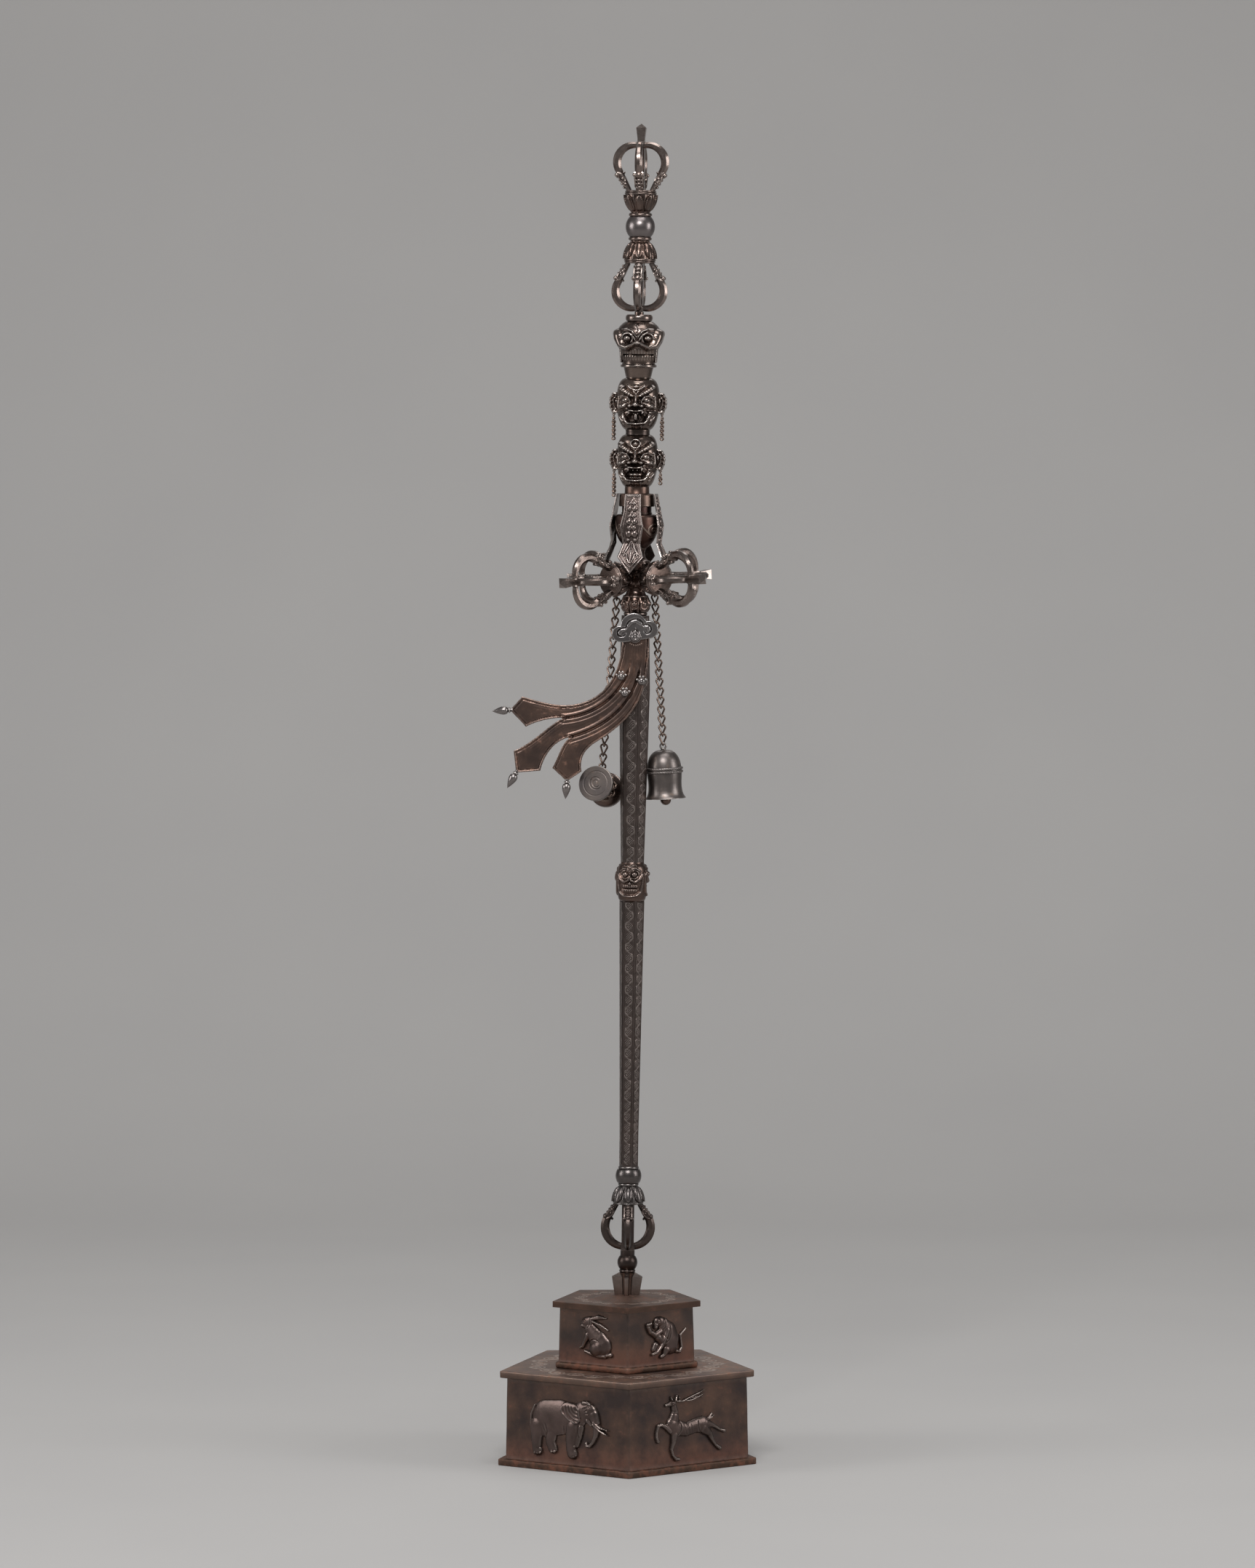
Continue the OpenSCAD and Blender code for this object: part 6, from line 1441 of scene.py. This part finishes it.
def elephant_lines(x, z):
    """A fanned ear, eye, brow, toes and trunk rings to raise, and folds of skin to cut"""
    ear = strokes(x, z, [(2.4, 57.6, 7.6, 1), (9.0, 54.6, 9.4, 1), (13.4, 49.4, 6.0, 1)])[0]
    folds = 0.35 * np.cos(tau * np.hypot(x - 17, z - 62) / 3.6)
    fan = np.where(ear > 0, 4.4 + 0.9 * ridge(ear - 0.9, 0.7) + folds * np.clip(ear / 3, 0, 1)
                   - 0.5 * np.clip(ear / 5, 0, 1), 0)
    marks = [fan, dome(x, z, 27.2, 56.6, 2.2, 1.6, 5.2), circle(x, z, 27.2, 56.6, 3.0, 0.6, 4.7),
             stroke(x, z, (22.4, 60.6, 0.8, 4.7), (27.6, 61.6, 0.9, 5.0), (31.6, 59.0, 0.6, 4.7)),
             0.25 * np.cos(tau * z / 2.6) * (x > 31) * (z < 44) * (z > 20)]
    for fx, fz, n in ((-37, 9.8, 3), (-15.6, 12.4, 3), (8.6, 9.6, 3), (13, 20, 1)):
        marks += [dome(x, z, fx + 3.4 * (i - 0.5), fz, 2.2, 2.0, 3.7) for i in range(n)]
    return np.maximum.reduce(marks), grooves(
        x, z, (0.8, 0.6, curve([(-25, 41), (-23, 36), (-22, 32), (-26, 26)])),
        (0.7, 0.5, curve([(-28, 39), (-27, 34), (-24, 32), (-25, 29)])),
        (0.6, 0.6, curve([(18, 46), (14, 40), (15, 34), (17, 30)])),
        (0.8, 0.5, [(-1.8, 40), (-2.6, 28)]))


def deer_lines(x, z):
    eye = np.maximum(dome(x, z, -22.6, 66.0, 1.4, 1.1, 4.4),
                     circle(x, z, -22.6, 66.0, 1.9, 0.45, 4.0))
    ribs = [(0.25, 0.5, curve([(a - 8, 42), (a - 7, 38), (a - 7, 35), (a - 5, 32)], 6))
            for a in (0, 4, 8)]
    return eye, grooves(
        x, z, (0.7, 0.55, curve([(-13.6, 46), (-10.6, 40), (-13.6, 33), (-18, 31)])),
        (0.6, 0.5, curve([(9.4, 44), (8.6, 38), (11, 33), (15, 31)])),
        (0.4, 0.5, [(-24.0, 54.6), (-15.4, 53.6)]), (0.5, 0.4, [(-31.6, 62.6), (-27.4, 62.8)]),
        *ribs)


def hare_lines(x, z):
    eye = np.maximum(dome(x, z, -9.0, 44.6, 1.4, 1.1, 4.1),
                     circle(x, z, -9.0, 44.6, 2.0, 0.45, 3.7))
    return eye, grooves(
        x, z, (0.8, 0.5, curve([(-4.4, 17), (-4.6, 26), (5, 29.6), (9.4, 24.6)], 10)),
        (0.5, 0.45, [(2.4, 43.6), (9.6, 41.2), (17.4, 37.6)]),
        (0.5, 0.45, curve([(-6.0, 38), (-2.6, 39), (-1.6, 43), (-2.4, 47)])),
        (0.4, 0.35, [(1.4, 47.6), (14.4, 48.4)]), (0.4, 0.35, [(1.4, 49.0), (14.4, 49.6)]))


def monkey_lines(x, z):
    marks = [dome(x, z, -5.0, 45.6, 1.4, 1.1, 4.7), circle(x, z, -5.0, 45.6, 2.1, 0.5, 4.2),
             dome(x, z, -10.4, 42.6, 1.3, 1.0, 4.0), dome(x, z, 1.6, 43.4, 1.6, 2.0, 4.4)]
    for i in range(3):
        marks += [dome(x, z, -14.4 + 1.6 * i, 10.0 - 0.4 * i, 0.9, 1.2, 3.6),
                  dome(x, z, -2.6 + 1.6 * i, 7.2, 0.9, 1.1, 3.2)]
    return np.maximum.reduce(marks), grooves(
        x, z, (0.6, 0.45, curve([(0.6, 36), (-0.6, 32), (1.6, 28), (5.6, 26)])),
        (0.6, 0.5, curve([(9.4, 39), (10.6, 32), (8.6, 26), (4.6, 22)])),
        (0.5, 0.45, curve([(3.0, 48), (5.2, 43), (3.6, 38), (-0.4, 36)])),
        (0.4, 0.35, curve([(-9.6, 41.6), (-7.6, 40.0), (-6.6, 40.4), (-5.4, 41.4)], 6)))


def relief(bm, paths, lines, step):
    """An animal from its limbs' strokes, with its own raised marks and cut lines"""
    def edge(x, z):
        return np.maximum.reduce([strokes(x, z, path)[0] for path in paths])

    def height(x, z):
        flesh = np.maximum.reduce([strokes(x, z, path)[1] for path in paths])
        marks, cuts = lines(x, z)
        return (0.5 + np.maximum(flesh, np.minimum(marks, flesh + 1.3))
                - cuts * np.clip(flesh / 3, 0, 1))
    ends = np.array([(x, z, w) for path in paths for x, z, w, h in path])
    low = (ends[:, :2] - ends[:, 2:]).min(axis=0) - 1
    high = (ends[:, :2] + ends[:, 2:]).max(axis=0) + 1
    carved(bm, edge, height, low, high, step, back=0.3)


def on_wall(face, r, h, z):
    return (spun(STAND_TURN + face) @ Matrix.Translation((0, -r * cos(pi / 5), z))
            @ Matrix.Rotation(-np.arctan2(WALL_SLANT * cos(pi / 5), h), 4, "X"))


LOW_WALL = LOW_WALL_R, LOW_WALL_H, LOW_WALL_Z
HIGH_WALL = HIGH_WALL_R, HIGH_WALL_H, HIGH_WALL_Z
for kind, paths, lines, step, faces, where in (
        ("elephant", ELEPHANT, elephant_lines, 0.62, (-36, 108, 252), LOW_WALL),
        ("deer", DEER, deer_lines, 0.5, (36, 180), LOW_WALL),
        ("hare", HARE, hare_lines, 0.4, (-36, 108, 252), HIGH_WALL),
        ("monkey", MONKEY, monkey_lines, 0.4, (36, 180), HIGH_WALL)):
    bm = bmesh.new()
    set_in(bm, made_once(relief, paths, lines, step), *(on_wall(face, *where) for face in faces))
    place(kind + "_reliefs_chased", bm, RELIEF, kind + "_reliefs", body="stand", leaning=False,
          crease=60, keen=1.1)


# CAD nodes that keep their own shape

for name, metal in {"upper_top_plate": TOP_HIGH, "staff_socket": WALL, "cross_hub": DARK,
                    "core_rod": DARK, "clapper": DARK, "chain_eyes": COPPERY}.items():
    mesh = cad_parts[name].data
    mesh.materials.clear()
    mesh.materials.append(metal)


# Stage and light

def stage_material():
    """Matt pale grey paper, faintly uneven, and clear from behind so that the back can be viewed"""
    paper = bpy.data.materials.new("pale_paper")
    paper.use_nodes = True
    tree = paper.node_tree
    shader = tree.nodes["Principled BSDF"]
    spot = add(tree, "TexCoord", out="Object")
    cloud = add(tree, "TexNoise", {"Vector": spot, "Scale": 1 / 0.4, "Detail": 2.0,
                                   "Roughness": 0.55})
    colour = add(tree, "Mix", {0: cloud, 6: srgb("#a8a6a5"), 7: srgb("#aeacaa")}, 2,
                 data_type="RGBA")
    tree.links.new(colour.socket, shader.inputs["Base Color"])
    shader.inputs["Roughness"].default_value = 0.9
    behind = add(tree, "NewGeometry", out="Backfacing")
    clear = add(tree, "BsdfTransparent")
    seen = add(tree, "MixShader", (behind, Field(tree, shader.outputs[0]), clear))
    tree.links.new(seen.socket, tree.nodes["Material Output"].inputs["Surface"])
    return paper


# The backdrop in metres: floor, a curved sweep behind the object and a wall
FLOOR_FRONT, SWEEP_Y, SWEEP_R, WALL_TOP, HALF_WIDTH = -14, 2.0, 1.6, 7, 12
sweep = [(SWEEP_Y + SWEEP_R * sin(a), SWEEP_R - SWEEP_R * cos(a))
         for a in np.linspace(0, pi / 2, 16)]
sweep = [(FLOOR_FRONT, 0)] + sweep + [(SWEEP_Y + SWEEP_R, WALL_TOP)]
bm = bmesh.new()
row = [bm.verts.new((-HALF_WIDTH, y, z)) for y, z in sweep]
line = [bm.edges.new(pair) for pair in zip(row, row[1:])]
across = bmesh.ops.extrude_edge_only(bm, edges=line)["geom"]
move(bm, [g for g in across if isinstance(g, bmesh.types.BMVert)],
     Matrix.Translation((2 * HALF_WIDTH, 0, 0)))
bm.normal_update()
bmesh.ops.reverse_faces(bm, faces=[f for f in bm.faces if f.normal.z - f.normal.y < 0])
for face in bm.faces:
    face.smooth = True
mesh = bpy.data.meshes.new("backdrop")
bm.to_mesh(mesh)
bm.free()
backdrop = bpy.data.objects.new("backdrop", mesh)
bpy.context.collection.objects.link(backdrop)
mesh.materials.append(stage_material())

# Softboxes in metres and watts: place, aim, width and height, power
for name, spot, aim, size, power in (
        ("front_softbox", (-0.5, -4.0, 3.9), (0, 0, 0.8), (2.0, 1.1), 140),
        ("left_softbox", (-3.5, -1.0, 1.65), (0, 0, 0.6), (1.3, 2.0), 46),
        ("right_softbox", (3.5, -1.2, 1.6), (0, 0, 0.6), (1.3, 2.0), 46),
        ("top_softbox", (0.2, -0.7, 3.7), (0, 0, 0), (1.8, 1.4), 40),
        ("rear_softbox", (0.3, 2.5, 3.2), (0, 0, 0.5), (2.2, 0.9), 14)):
    lamp = bpy.data.lights.new(name, "AREA")
    lamp.shape, lamp.size, lamp.size_y, lamp.energy = "RECTANGLE", *size, power
    softbox = bpy.data.objects.new(name, lamp)
    softbox.location = spot
    softbox.rotation_euler = (Vector(aim) - Vector(spot)).to_track_quat("-Z", "Y").to_euler()
    bpy.context.collection.objects.link(softbox)

ON_OBJECT, TO_CAMERA = 0.42, 0.63
world = bpy.data.worlds.new("studio")
bpy.context.scene.world = world
world.use_nodes = True
sky = world.node_tree.nodes["Background"]
sky.inputs[0].default_value = srgb("#c8c8c8")
strength = add(world.node_tree, "LightPath", out="Is Camera Ray").into(
    "MapRange", 0.0, 1.0, ON_OBJECT, TO_CAMERA)
world.node_tree.links.new(strength.socket, sky.inputs[1])
bpy.context.scene.view_settings.view_transform = "Standard"
